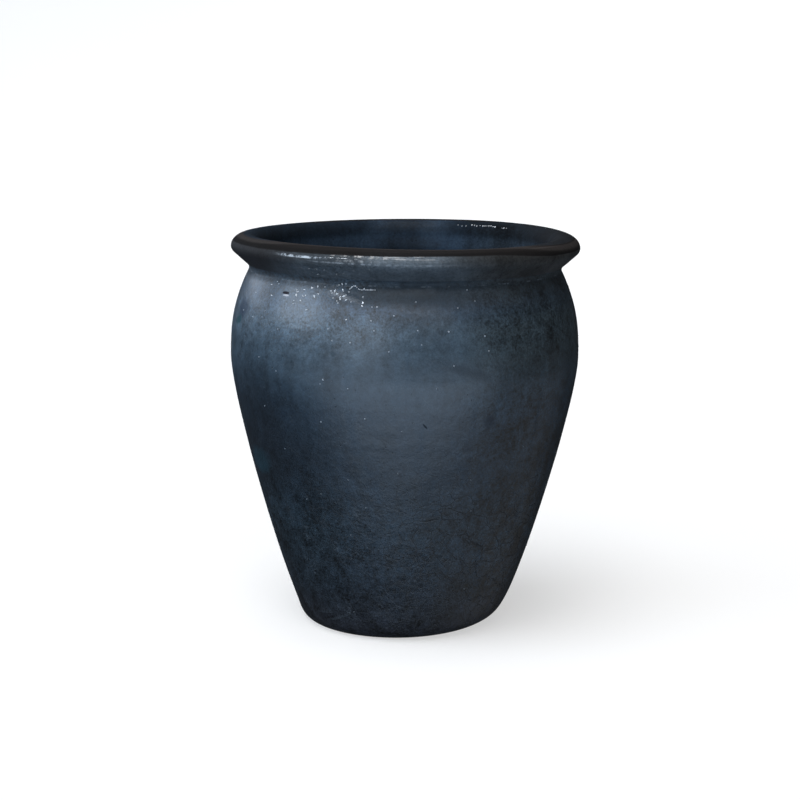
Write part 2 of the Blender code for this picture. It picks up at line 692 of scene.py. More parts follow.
    def rim(self) -> Profile:
        """From the start of the collar, over the lip, and down to the throat.

        Returns:
            The stretch of the profile.
        """
        start, steps = self.crease()[-1], self.steps
        collar = [point for point in self.collar() if point.y > start.y + self.clear_above]
        middle = Vector((self.crest, self.widest))
        crown = self.arc(middle, self.crown_width, self.crown_rise, 0, QUARTER_TURN, steps.crown)
        middle = Vector((self.crest, self.widest + self.crown_rise - self.inner_drop))
        inside = self.arc(middle, self.inner_width, self.inner_drop, QUARTER_TURN, math.pi, steps.inner_lip)
        throat = self.inner()[-1]
        into_throat = Vector((-math.sin(self.neck_lean), math.cos(self.neck_lean))) * self.throat_reach
        upright = Vector((0, self.throat_reach))
        bore = self.curve(inside[-1], inside[-1] - upright, throat + into_throat, throat, steps.bore)
        return [start] + collar + crown[1:] + inside[1:] + bore[1:]

    def inside(self) -> Profile:
        """From the throat down the inner wall and over the cove to the middle of the floor.

        Returns:
            The stretch of the profile.
        """
        wall = self.inner()[::-1]
        top = wall[-1]
        slope = (wall[-2] - top).normalized()
        corner = top - slope * ((top.y - self.floor_height) / slope.y)
        toe = corner - Vector((self.cove_run, 0))
        handles = top.lerp(corner, self.cove_fullness), toe.lerp(corner, self.cove_fullness)
        cove = self.curve(top, *handles, toe, self.steps.cove)
        middle, steps = Vector((0, self.floor_height)), self.steps.floor
        floor = [toe.lerp(middle, i / steps) for i in range(steps + 1)]
        return wall + cove[1:] + floor[1:]

    def foot(self) -> Profile:
        """From the middle of the underside out to the glaze line.

        Returns:
            The stretch of the profile.
        """
        steps = self.steps.foot
        flat = [Vector((self.foot_radius * i / steps, 0)) for i in range(steps + 1)]
        return flat + self.heel(-QUARTER_TURN, self.glaze_angle(), self.steps.heel_bare)[1:]

    @cached_property
    def outline(self) -> np.ndarray:
        """The radius and height of each point of the outside, from the foot to the neck."""
        points = self.heel(-QUARTER_TURN, -self.wall_lean, self.steps.heel_whole)[:-1] + self.wall()
        return np.array([tuple(point) for point in points])

    def radius(self, height: float) -> float:
        """The outside radius of the wall at a height."""
        return float(np.interp(height, self.outline[:, 1], self.outline[:, 0]))


@dataclass(frozen=True)
class Surface:
    """Finds places on the outside of the jar, before its pieces are made."""

    shape: JarShape
    camera: PhotoCamera
    margin: float = 1.3
    march: float = 0.0002
    slope_step: float = 0.001

    def seen_at(self, x: float, y: float) -> Vector:
        """The place on the wall that a pixel of the photograph shows.

        Args:
            x: The pixel's column.
            y: The pixel's row.

        Returns:
            The place, in metres.
        """
        ray = self.camera.ray(x, y)
        far = (-self.camera.place.y) / ray.y
        near = far - self.shape.belly_radius * self.margin
        at = near
        while at < far:
            place = self.camera.place + ray * at
            if math.hypot(place.x, place.y) < self.shape.radius(place.z):
                return place
            at += self.march
        raise ValueError(f"pixel {x}, {y} doesn't show the wall")

    def facing(self, place: Vector) -> Vector:
        """How the wall is turned.

        Args:
            place: A place on the wall.

        Returns:
            The direction in which the wall faces there.
        """
        step = self.slope_step
        slope = (self.shape.radius(place.z + step) - self.shape.radius(place.z - step)) / (2 * step)
        out = Vector((place.x, place.y, 0)).normalized()
        return (out - Vector((0, 0, slope))).normalized()


# Geometry Nodes


@dataclass(frozen=True)
class HandMarks:
    """What the hand and the fire left on the turned form."""

    ring_depth: float = 0.00002
    ring_pitch: float = 0.017
    lump_depth: float = 0.00035
    lump_size: float = 0.055
    run_depth: float = 0.00008
    foot_shift: float = -0.0084
    foot_shift_height: float = 0.0091
    low_lean: float = -0.0011
    lip_tilt: float = 0.0010
    lip_dip: float = 0.0063
    lip_twist: float = 0.0009
    lip_wave: float = 0.00025


def label(name: str) -> str:
    """The name of a tree's input, from that of a size."""
    return name.replace("_", " ").title()


class Tree:
    """A Geometry Nodes tree with named inputs, which gives one dressed geometry."""

    def __init__(self, name: str, takes: dict[str, str]) -> None:
        """Makes the tree's inputs and its output.

        Args:
            name: The tree's name.
            takes: The type of each input, by its name.
        """
        self.tree = bpy.data.node_groups.new(name, "GeometryNodeTree")
        self.bench = Bench(self.tree)
        face = self.tree.interface
        for key, kind in (takes | {"Finish": "Material"}).items():
            face.new_socket(key, in_out="INPUT", socket_type=f"NodeSocket{kind}")
        face.new_socket("Made", in_out="OUTPUT", socket_type="NodeSocketGeometry")
        inputs = self.bench.add("NodeGroupInput", {}, {}).outputs
        self.given = {socket.name: Signal(self.bench, socket) for socket in inputs if socket.name}

    def give(self, made: Signal) -> None:
        """Smooths and dresses a geometry, and gives it as the tree's result.

        Args:
            made: The geometry.
        """
        bench = self.bench
        smooth = bench.value("GeometryNodeSetShadeSmooth", {}, {"Geometry": made})
        real = bench.value("GeometryNodeRealizeInstances", {}, {"Geometry": smooth})
        inputs = {"Geometry": real, "Material": self.given["Finish"]}
        bench.add("NodeGroupOutput", {}, {"Made": bench.value("GeometryNodeSetMaterial", {}, inputs)})


class TurningTree(Tree):
    """The tree that turns a profile into a section of the jar."""

    map_share: float = 0.998
    map_edge: float = 0.001
    same_point: float = 0.00001
    ends: float = 0.05
    off_axis: Zone = (0.004, 0.03)
    least_radius: float = 0.001
    wander: float = 1.6
    wanders_per_metre: float = 14.0
    patches_per_metre: float = 9.0
    patch_edge: Zone = (-0.5, 0.6)
    runs_per_metre: float = 70.0
    run_flattening: float = 0.12
    waves_per_metre: float = 11.0

    def __init__(self) -> None:
        """Builds the tree."""
        takes = {"Profile": "Geometry", "Turn Steps": "Int"}
        takes |= {label(size.name): "Float" for size in fields(HandMarks)}
        takes |= {"Belly Height": "Float", "Height": "Float", "Seed": "Float"}
        super().__init__("turned_section", takes)
        self.give(self._marked(self._turned()))

    def _turned(self) -> Signal:
        """Lays a grid on the profile, one row for each of its points, and closes it round the axis.

        Returns:
            The turned surface, with its bake map.
        """
        bench, profile = self.bench, self.given["Profile"]
        size = bench.add("GeometryNodeAttributeDomainSize", {"component": "MESH"}, {"Geometry": profile})
        rows = Signal(bench, size.outputs["Point Count"])
        lines = {"Vertices X": self.given["Turn Steps"] + 1.0, "Vertices Y": rows}
        grid = bench.add("GeometryNodeMeshGrid", {}, {"Size X": 1.0, "Size Y": 1.0} | lines)
        place = bench.value("GeometryNodeInputPosition", {}, {})
        across, up, _ = bench.parts(place)
        turn = (across + 0.5) * FULL_TURN
        row = bench.function("ROUND", (up + 0.5) * (rows - 1.0))
        radius, _, height = bench.parts(bench.sampled(profile, place, row, "FLOAT_VECTOR"))
        along = bench.sampled(profile, bench.stored("along"), row)
        flat = bench.vector(across * self.map_share + 0.5, along * self.map_share + self.map_edge, 0.0)
        mapped = bench.store(grid.outputs["Mesh"], BAKE_MAP, flat, "FLOAT2", "CORNER")
        kept = bench.store(mapped, "along", along)
        cosine, sine = bench.function("COSINE", turn), bench.function("SINE", turn)
        spun = {"Geometry": kept, "Position": bench.vector(radius * cosine, radius * sine, height)}
        placed = bench.value("GeometryNodeSetPosition", {}, spun)
        merged = {"Geometry": placed, "Distance": self.same_point}
        return bench.value("GeometryNodeMergeByDistance", {}, merged)

    def _marked(self, turned: Signal) -> Signal:
        """Adds the throwing rings, the lumps, the glaze runs and the warp from the kiln.

        Args:
            turned: The true turned surface.

        Returns:
            The surface with its marks.
        """
        bench, given = self.bench, self.given
        place = bench.value("GeometryNodeInputPosition", {}, {})
        x, y, height = bench.parts(place)
        along = bench.stored("along")
        turn = bench.function("ARCTAN2", y, x)
        radius = bench.length(x, y)
        clear_of_ends = bench.step(along, 0.0, self.ends) * bench.step(along, 1.0, 1.0 - self.ends)
        wander = self._noise(place, self.wanders_per_metre, 2.0) * self.wander
        rings = bench.function("SINE", (height / given["Ring Pitch"]) * FULL_TURN + turn + wander)
        patches = bench.step(self._noise(place, self.patches_per_metre, 1.0), *self.patch_edge)
        lumps = self._noise(place, 1.0 / given["Lump Size"], 2.0)
        runs = self._noise(place, self.runs_per_metre, 2.0, self.run_flattening)
        off_axis = bench.step(radius, *self.off_axis)
        ridged = given["Ring Depth"] * rings * patches * clear_of_ends
        swell = (ridged + given["Lump Depth"] * lumps + given["Run Depth"] * runs) * off_axis
        belly = given["Belly Height"]
        low = bench.function("MAXIMUM", 1.0 - height / belly, 0.0)
        high = bench.function("MAXIMUM", (height - belly) / (given["Height"] - belly), 0.0)
        shift = given["Foot Shift"] * bench.function("EXPONENT", -(height / given["Foot Shift Height"]))
        lean = given["Low Lean"] * low * low
        tilt = given["Lip Tilt"] * x + given["Lip Dip"] * y
        twist = given["Lip Twist"] * bench.function("SINE", turn * 2.0)
        wave = given["Lip Wave"] * self._noise(place, self.waves_per_metre, 1.0, 0.0)
        rise = high * high * (tilt + twist + wave)
        unit = bench.function("MAXIMUM", radius, self.least_radius)
        offset = bench.vector(x / unit * swell + shift + lean, y / unit * swell, rise)
        return bench.value("GeometryNodeSetPosition", {}, {"Geometry": turned, "Offset": offset})

    def _noise(self, at: Signal, per_metre: Any, detail: float, flattening: float = 1.0) -> Signal:
        """Noise around 0 from the tree's own seed.

        Args:
            at: The place it is read at.
            per_metre: Its grains in a metre.
            detail: How many finer layers it has.
            flattening: How much it is drawn out upwards: at 0 it is the same all the way up.

        Returns:
            A number from about -1 to 1.
        """
        return self.bench.noise(at, Grain(per_metre, detail, seed=self.given["Seed"], flattening=flattening))


class PimpleTree(Tree):
    """The tree that sets a small dome of glaze on each point."""

    def __init__(self) -> None:
        """Builds the tree."""
        takes = {"Points": "Geometry", "Sides": "Int", "Rings": "Int", "Rise": "Float", "Sink": "Float"}
        super().__init__("glaze_pimples", takes)
        bench, given = self.bench, self.given
        cone = bench.add(
            "GeometryNodeMeshCone",
            {"fill_type": "NONE"},
            {
                "Vertices": given["Sides"],
                "Side Segments": given["Rings"],
                "Radius Top": 0.0,
                "Radius Bottom": 1.0,
                "Depth": 1.0,
            },
        )
        x, y, _ = bench.parts(bench.value("GeometryNodeInputPosition", {}, {}))
        bell = (bench.function("COSINE", bench.length(x, y) * math.pi) + 1.0) * 0.5
        lifted = bench.vector(x, y, bell * given["Rise"] - given["Sink"])
        kept = bench.store(cone.outputs["Mesh"], "lift", bell)
        dome = bench.value("GeometryNodeSetPosition", {}, {"Geometry": kept, "Position": lifted})
        facing = {"Vector": bench.stored("facing", "FLOAT_VECTOR")}
        turned = bench.value("FunctionNodeAlignRotationToVector", {"axis": "Z"}, facing)
        half = bench.stored("width") * 0.5
        inputs = {
            "Points": given["Points"],
            "Instance": dome,
            "Rotation": turned,
            "Scale": bench.vector(half, half, half),
        }
        self.give(bench.value("GeometryNodeInstanceOnPoints", {}, inputs))


def through_tree(
    source: bpy.types.Mesh, name: str, tree: Tree, inputs: dict[str, Any]
) -> bpy.types.Object:
    """Runs a mesh through a Geometry Nodes tree and keeps the result as a plain mesh.

    Args:
        source: The mesh that the tree reads.
        name: The finished piece's name.
        tree: The tree.
        inputs: Values for the tree's named inputs.

    Returns:
        The finished piece, at the origin.
    """
    piece = bpy.data.objects.new(name, source)
    bpy.context.scene.collection.objects.link(piece)
    modifier = piece.modifiers.new("made", "NODES")
    modifier.node_group = tree.tree
    sockets = {
        item.name: item.identifier
        for item in tree.tree.interface.items_tree
        if item.item_type == "SOCKET" and item.in_out == "INPUT"
    }
    for key, given in inputs.items():
        modifier[sockets[key]] = given
    piece.update_tag()
    bpy.context.view_layer.update()
    graph = bpy.context.evaluated_depsgraph_get()
    made = bpy.data.meshes.new_from_object(piece.evaluated_get(graph), depsgraph=graph)
    piece.modifiers.remove(modifier)
    piece.data = made
    made.name = name
    bpy.data.meshes.remove(source)
    return piece


def profile_mesh(points: Profile) -> bpy.types.Mesh:
    """A profile as a mesh of edges, which also holds how far along it each point lies.

    Args:
        points: The profile, as radius and height.

    Returns:
        The mesh.
    """
    mesh = bpy.data.meshes.new("profile")
    edges = [(i, i + 1) for i in range(len(points) - 1)]
    mesh.from_pydata([(point.x, 0.0, point.y) for point in points], edges, [])
    lengths = np.cumsum([0.0] + [(b - a).length for a, b in zip(points, points[1:])])
    along = mesh.attributes.new("along", "FLOAT", "POINT")
    along.data.foreach_set("value", (lengths / lengths[-1]).astype(np.float32))
    return mesh


def ride(piece: bpy.types.Object, slot: Slot, nodes: Sequence[str]) -> bpy.types.Object:
    """Ties a finished piece to the CAD.

    Args:
        piece: The piece.
        slot: Not used.
        nodes: The CAD nodes that it stands for.

    Returns:
        The piece.
    """
    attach(piece, BODY)
    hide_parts(*nodes)
    triangles = sum(len(face.vertices) - 2 for face in piece.data.polygons)
    LOG.info("%s: %d triangles, stands for %s", piece.name, triangles, ", ".join(nodes))
    return piece


# Finishes


@dataclass(frozen=True)
class SoftPatch:
    """A soft-edged mark in the glaze, or a patch of painted shade, by the pixels of the photograph that it
    covers.
    """

    x: float
    y: float
    width: float
    height: float
    colour: Colour
    strength: float
    slant: float = 0.0
    softness: float = 0.45
    raggedness: float = 0.35
    dull: float = 0.0


@dataclass(frozen=True)
class Coating:
    """How the glaze looks on one stretch of the jar.

    Without a mottle or a sand of its own, a stretch has the ones that change from place to place.
    """

    refraction: float
    roughness: float
    coat_low: float
    coat_high: float
    coat_refraction: float
    coat_roughness: float
    tint: Colour = WHITE
    mottle: float | None = None
    sand: float | None = None
    ripple: float = 0.00022
    ink: float = 0.35
    salt: float = 0.12


@dataclass(frozen=True)
class Strength:
    """How strong a layer is, and what is added to that low on the jar and on its right."""

    base: float
    low: float = 0.0
    right: float = 0.0


@dataclass(frozen=True)
class Grains:
    """The fields of noise in the glaze."""

    clouds: Grain = Grain(13.0, 3.0, 0.6, 1.0)
    streaks: Grain = Grain(42.0, 4.0, 0.6, 2.0, 0.10)
    mottle: Grain = Grain(46.0, 5.0, 1.0, 3.0)
    hue: Grain = Grain(80.0, 3.0, 0.9, 4.0)
    peel: Grain = Grain(330.0, 3.0, 0.5, 5.0)
    ripple: Grain = Grain(110.0, 3.0, 0.6, 6.0)
    smoke: Grain = Grain(24.0, 4.0, 0.7, 7.0)
    sand: Grain = Grain(420.0, 2.0, 0.6, 8.0)
    patches: Grain = Grain(10.0, 2.0, 0.5, 9.0)
    islands: Grain = Grain(34.0, 3.0, 0.6, 10.0)
    lip_edge: Grain = Grain(34.0, 3.0, 0.6, 12.0)
    flecks: Grain = Grain(260.0, 4.0, 0.7, 13.0)
    breaks: Grain = Grain(210.0, 2.0, 0.6, 14.0)
    runs: Grain = Grain(95.0, 3.0, 0.5, 15.0, 0.06)
    flakes: Grain = Grain(120.0, 3.0, 0.6, 16.0)
    wet: Grain = Grain(430.0, 2.0, 0.5, 21.0)
    specks: Grain = Grain(560.0, 2.0, 0.6, 22.0)


@dataclass(frozen=True)
class Zones:
    """Where each part of the wall's glaze starts and where it is full, in metres.

    The first ones lie across the jar, and the ones from low on lie up it.
    """

    left: Zone = (0.03, -0.05)
    # The low left's less blue tint is painted shade.
    right: Zone = (0.03, 0.11)
    shade_tint_low_left: Zone = (-0.02, -0.09)
    crazed_right: Zone = (-0.03, 0.06)
    matt_left: Zone = (-0.085, -0.055)
    # Where the pimples' painted glints show, across the jar and, below, up it.
    glint_across: Zone = (0.14, 0.02)
    low: Zone = (0.24, 0.08)
    high: Zone = (0.255, 0.300)
    upper: Zone = (0.27, 0.33)
    waist: Zone = (0.28, 0.24)
    sandy: Zone = (0.29, 0.33)
    crazed_low: Zone = (0.22, 0.11)
    glint_up: Zone = (0.18, 0.33)
    matt_neck: Zone = (0.336, 0.352)
    crease: Zone = (0.3560, 0.3625)
    line_from: Zone = (0.3622, 0.3627)
    line_to: Zone = (0.3641, 0.3635)


@dataclass(frozen=True)
class LipZones:
    """Where each part of the lip's glaze starts and where it is full, in metres.

    The first ones lie across the jar, far and behind lie away from the camera, and under, the rise of the
    front's highlight and crest lie up it. Under and the highlight's rise hold painted light under the lip
    and a painted highlight on its front; far and crest hold painted shade on the far half of the band and
    under the crest inside. The last ones are measured from the radius of the crest, and aloft and
    band_outside from the height at which the lip is widest.
    """

    west: Zone = (-0.090, -0.150)
    east: Zone = (0.080, 0.150)
    tip: Zone = (0.115, 0.165)
    right: Zone = (0.05, 0.13)
    side: Zone = (0.110, 0.150)
    left: Zone = (-0.120, -0.160)
    facing_left: Zone = (-0.025, -0.050)
    soft: Zone = (0.060, 0.025)
    glossy: Zone = (-0.126, -0.112)
    off_centre: Zone = (0.005, 0.055)
    far: Zone = (0.01, 0.07)
    behind: Zone = (0.00, 0.06)
    under: Zone = (0.388, 0.379)
    # The rise of the front's painted highlight.
    glow: Zone = (0.374, 0.388)
    crest: Zone = (0.383, 0.391)
    aloft: Zone = (-0.004, 0.0)
    band_outside: Zone = (0.0052, 0.0064)
    band_inside: Zone = (-0.0052, -0.0030)
    pale: Zone = (0.0038, 0.0022)
    line_from: Zone = (0.0060, 0.0080)
    line_to: Zone = (0.0130, 0.0110)
    low_edge: Zone = (0.0085, 0.0110)
    scorched: Zone = (-0.004, 0.0)
    inside: Zone = (0.001, -0.004)
    behind_crest: Zone = (0.006, 0.0)


@dataclass(frozen=True)
class Weights:
    """How much each layer counts in the colour, the roughness, the gloss and the relief of the glaze."""

    depth_clouds: float = 0.012
    depth_streaks: float = 0.010
    tone_clouds: float = 0.16
    tone_streaks: Strength = Strength(0.38, 0.35, 0.25)
    tone_runs: Strength = Strength(0.26, 0.35)
    mottle_left: float = 1.2
    mottle_upper: float = 0.6
    mottle_low: float = 2.2
    mottle_waist: float = 3.0
    mottle_base: float = 1.25
    sand_left: float = 1.3
    sand_upper: float = 0.5
    sand_low: float = 1.0
    sand_right: float = 0.9
    # The darkening of the right shoulder, and the less blue tints of the shoulder, the right side and the low
    # left below, are painted shade.
    right_shoulder: float = 0.30
    darkest: float = 0.15
    warm_hue: float = 0.07
    warm_shoulder: float = 0.12
    shade_tint_right: float = 0.02
    shade_tint_low_left: float = 0.10
    smoke: float = 0.22
    rough_clouds: float = 0.04
    rough_mottle: float = 0.16
    rough_ink: float = 0.40
    gloss_clouds: float = 0.3
    gloss_mottle: float = 1.2
    skin: Strength = Strength(1.0, 1.2, 0.8)
    peel_height: float = 0.00007
    crack_depth: float = 0.00016
    pore_depth: float = 0.00015
    pore_ink: float = 0.6


@dataclass(frozen=True)
class Crazing:
    """The sizes of the net of fine cracks."""

    bend_per_metre: float = 60.0
    bend_detail: float = 3.0
    bend: float = 0.011
    wide_per_metre: float = 62.0
    wide_edge: Zone = (0.030, 0.008)
    fine_per_metre: float = 150.0
    fine_edge: Zone = (0.045, 0.012)
    fine_share: float = 0.5
    patch_edge: Zone = (-0.45, 0.5)
    patch_gain: float = 0.7
    patch_base: float = 0.15
    island_edge: Zone = (0.05, 0.45)


@dataclass(frozen=True)
class SlateGlaze:
    """The slate-blue glaze: milky on the shoulder, darker below, mottled, streaked, crazed and pitted."""

    surface: Surface
    by_height: tuple[tuple[float, Colour], ...] = (
        (0.000, (0.0118, 0.0120, 0.0156)),
        (0.060, (0.0092, 0.0152, 0.0228)),
        (0.120, (0.0110, 0.0203, 0.0305)),
        (0.180, (0.0090, 0.0170, 0.0270)),
        (0.240, (0.0130, 0.0244, 0.0385)),
        (0.300, (0.0300, 0.0505, 0.0710)),
        (0.325, (0.0340, 0.0550, 0.0760)),
        (0.345, (0.0240, 0.0420, 0.0660)),
        (0.362, (0.0230, 0.0365, 0.0510)),
        (0.400, (0.0300, 0.0470, 0.0640)),
    )
    craze_ink: Colour = (0.0040, 0.0060, 0.0085)
    craze_salt: Colour = (0.1100, 0.1300, 0.1500)
    umber: Colour = (0.0090, 0.0073, 0.0071)
    pale_edge: Colour = (0.0250, 0.0218, 0.0212)
    # Painted glints on the tips of the pimples and beads, and painted shadow round their feet.
    pimple_glint: Colour = (0.2800, 0.3300, 0.3800)
    pimple_rim: Colour = (0.0050, 0.0080, 0.0120)
    bead_glint: Colour = (0.7000, 0.7400, 0.7800)
    coatings: dict[Region, Coating] = field(
        default_factory=lambda: {
            Region.OUTSIDE: Coating(1.60, 0.38, 0.05, 0.25, 1.5, 0.090),
            Region.LIP: Coating(
                1.22, 0.62, 0.05, 1.00, 1.9, 0.040, (1.18, 0.90, 0.76), mottle=1.0, sand=0.5, ripple=0.00014
            ),
            Region.INSIDE: Coating(
                1.50, 0.40, 0.05, 0.30, 1.5, 0.100, (1.25, 1.20, 1.15), mottle=3.2, ink=0.8, salt=0.35
            ),
            Region.PIMPLES: Coating(1.60, 0.20, 0.20, 0.40, 1.5, 0.050),
            Region.BEADS: Coating(1.60, 0.15, 0.50, 0.80, 1.5, 0.050),
        }
    )
    grains: Grains = Grains()
    zones: Zones = Zones()
    lip: LipZones = LipZones()
    weights: Weights = Weights()
    crazing: Crazing = Crazing()
    blemishes: tuple[SoftPatch, ...] = ()
    wet_patches: tuple[SoftPatch, ...] = ()

    def material(self, region: Region) -> bpy.types.Material:
        """Makes the finish for one stretch of the jar.

        Args:
            region: Which stretch.

        Returns:
            The material.
        """
        coats = {Region.OUTSIDE: WallCoat, Region.LIP: LipCoat, Region.INSIDE: GlazeCoat}
        return coats.get(region, DomeCoat)(self, region).build()


class GlazeCoat:
    """The glaze on one stretch of the jar, laid in layers. On its own, it is the coat inside the jar."""

    smoky: Zone = (0.05, 0.60)
    glossy: Zone = (-0.5, 0.6)
    pores_per_metre: float = 240.0
    pore_width: Zone = (0.26, 0.10)
    pores_drawn: Zone = (0.93, 0.94)

    def __init__(self, glaze: SlateGlaze, region: Region) -> None:
        """Starts the material, and finds the places and the noise that its layers share.

        Args:
            glaze: The glaze.
            region: Which stretch of the jar it is for.
        """
        self.glaze = glaze
        self.region = region
        self.coating = glaze.coatings[region]
        self.material, self.bench, self.place = fresh_material(f"slate_glaze_{region.value}")
        self.x, self.y, self.z = self.bench.parts(self.place)
        zones, grains = glaze.zones, glaze.grains
        self.left, self.right = (self.bench.step(self.x, *zone) for zone in (zones.left, zones.right))
        self.low, self.upper = (self.bench.step(self.z, *zone) for zone in (zones.low, zones.upper))
        self.clouds, self.streaks, self.mottle, self.runs = (
            self.noise(grain) for grain in (grains.clouds, grains.streaks, grains.mottle, grains.runs)
        )

    def noise(self, grain: Grain) -> Signal:
        """A field of noise on the jar."""
        return self.bench.noise(self.place, grain)

    def strength(self, layer: Strength) -> Signal:
        """How strong a layer is at each place.

        Args:
            layer: The layer's strengths.

        Returns:
            The strength.
        """
        gains = ((self.low, layer.low), (self.right, layer.right))
        first, *rest = [zone * gain for zone, gain in gains if gain]
        return sum(rest, first) + layer.base

    def stain(self, share: Any, colour: Any) -> None:
        """Mixes a share of a colour into the glaze."""
        self.colour = self.bench.blend(share, self.colour, colour)

    def build(self) -> bpy.types.Material:
        """Lays the layers, one on the other, and joins the shader.

        Returns:
            The material.
        """
        self._ground()
        self._crazing()
        self._skin()
        self._own_layers()
        self.bench.finish(self._shader())
        return self.material

    def _ground(self) -> None:
        """The colour that the glaze has at its height, mottled, streaked, sanded and smoked, with painted
        shade on the right and the low left.
        """
        bench, weights, zones = self.bench, self.glaze.weights, self.glaze.zones
        level = self.z + self.clouds * weights.depth_clouds + self.streaks * weights.depth_streaks
        full = self.glaze.by_height[-1][0]
        stops = [(height / full, shade) for height, shade in self.glaze.by_height]
        depth = bench.value("ShaderNodeValToRGB", {"stops": stops}, {"Fac": level / full}, "Color")
        high = bench.step(self.z, *zones.high)
        streaked = self.streaks * self.strength(weights.tone_streaks)
        run = self.runs * self.strength(weights.tone_runs)
        tone = self.clouds * weights.tone_clouds + streaked + run + self.mottle * self._mottling()
        self.sand = self.noise(self.glaze.grains.sand) * self._sanding()
        # Painted shade: the right shoulder is darkened, and the right side and the low left are tinted less
        # blue, as shade looks.
        tone = tone + self.sand - self.right * high * weights.right_shoulder
        hue = self.noise(self.glaze.grains.hue) * weights.warm_hue
        shade_tint_low_left = self.low * bench.step(self.x, *zones.shade_tint_low_left) * weights.shade_tint_low_left
        hue_and_shade_tint = hue + self.right * (high * weights.warm_shoulder + weights.shade_tint_right) + shade_tint_low_left
        shade = bench.function("MAXIMUM", tone + 1.0, weights.darkest)
        self.colour = depth * bench.vector(hue_and_shade_tint + 1.0, 1.0, 1.0 - hue_and_shade_tint) * shade * self.coating.tint
        smoky = bench.step(self.noise(self.glaze.grains.smoke), *self.smoky)
        self.stain(smoky * weights.smoke, self.glaze.umber)

    def _mottling(self) -> Any:
        """How strong the mottle is: the coating's own strength, or one that changes with the place.

        Returns:
            The strength.
        """
        if self.coating.mottle is not None:
            return self.coating.mottle
        weights = self.glaze.weights
        upper = self.upper * (self.left * weights.mottle_left + weights.mottle_upper)
        waist = self.right * self.bench.step(self.z, *self.glaze.zones.waist) * weights.mottle_waist
        return upper + self.low * weights.mottle_low + waist + weights.mottle_base

    def _sanding(self) -> Any:
        """How strong the finest grain is: the coating's own strength, or one that changes with the place.

        Returns:
            The strength.
        """
        if self.coating.sand is not None:
            return self.coating.sand
        weights = self.glaze.weights
        upper = self.bench.step(self.z, *self.glaze.zones.sandy)
        upper = upper * (self.left * weights.sand_left + weights.sand_upper)
        return upper + self.low * weights.sand_low + self.right * weights.sand_right

    def _crazing(self) -> None:
        """Draws the net of fine cracks, dark in places and pale in others."""
        bench, net, place = self.bench, self.glaze.crazing, self.place
        wavy = {"Vector": place, "Scale": net.bend_per_metre, "Detail": net.bend_detail}
        bend = bench.value("ShaderNodeTexNoise", {"noise_dimensions": "3D"}, wavy, "Color")
        bent = place + (bend - 0.5) * net.bend
        sizes = (net.wide_per_metre, net.wide_edge), (net.fine_per_metre, net.fine_edge)
        wide, fine = (
            bench.step(bench.cells(bent, per_metre, "DISTANCE_TO_EDGE", "Distance"), *edge)
            for per_metre, edge in sizes
        )
        dark = bench.function("MAXIMUM", wide, fine * net.fine_share)
        patches = bench.step(self.noise(self.glaze.grains.patches), *net.patch_edge)
        patches = patches * net.patch_gain + net.patch_base
        islands = bench.step(self.noise(self.glaze.grains.islands), *net.island_edge)
        self.ink, salt = self._cracks(dark, fine, patches, islands)
        self.stain(self.ink, self.glaze.craze_ink)
        self.stain(salt, self.glaze.craze_salt)

    def _cracks(self, dark: Signal, fine: Signal, patches: Signal, islands: Signal) -> tuple[Signal, Signal]:
        """How much of the dark cracks shows, and how much of the pale ones."""
        return dark * patches * self.coating.ink, fine * islands * self.coating.salt

    def _skin(self) -> None:
        """The roughness, the gloss, the relief and the pinholes of the glaze."""
        bench, weights, grains, coating = self.bench, self.glaze.weights, self.glaze.grains, self.coating
        dull = self.clouds * weights.rough_clouds
        self.roughness = coating.roughness + dull + self.mottle * weights.rough_mottle
        self.roughness = self.roughness + self.ink * weights.rough_ink
        shine = self.clouds * weights.gloss_clouds + self.mottle * weights.gloss_mottle
        gloss = bench.step(shine, *self.glossy)
        self.gloss = gloss * (coating.coat_high - coating.coat_low) + coating.coat_low
        peel = self.noise(grains.peel) * self.strength(weights.skin) * weights.peel_height
        relief = peel + self.noise(grains.ripple) * coating.ripple - self.ink * weights.crack_depth
        pores = bench.scattered(self.place, self.pores_per_metre, self.pore_width, self.pores_drawn)
        self.height = relief - pores * weights.pore_depth
        self.stain(pores * weights.pore_ink, self.glaze.craze_ink)

    def _own_layers(self) -> None:
        """What only this stretch of the jar has."""

    def _shader(self) -> bpy.types.NodeSocket:
        """The shader of the glaze, from what the layers made of it.

        Returns:
            The shader's socket.
        """
        self.normal = self.bench.bump(self.height)
        return self.bench.principled(
            {
                "Base Color": self.colour,
                "Roughness": self.roughness,
                "IOR": self.coating.refraction,
                "Coat Weight": self.gloss,
                "Coat Roughness": self.coating.coat_roughness,
                "Coat IOR": self.coating.coat_refraction,
                "Normal": self.normal,
            }
        )


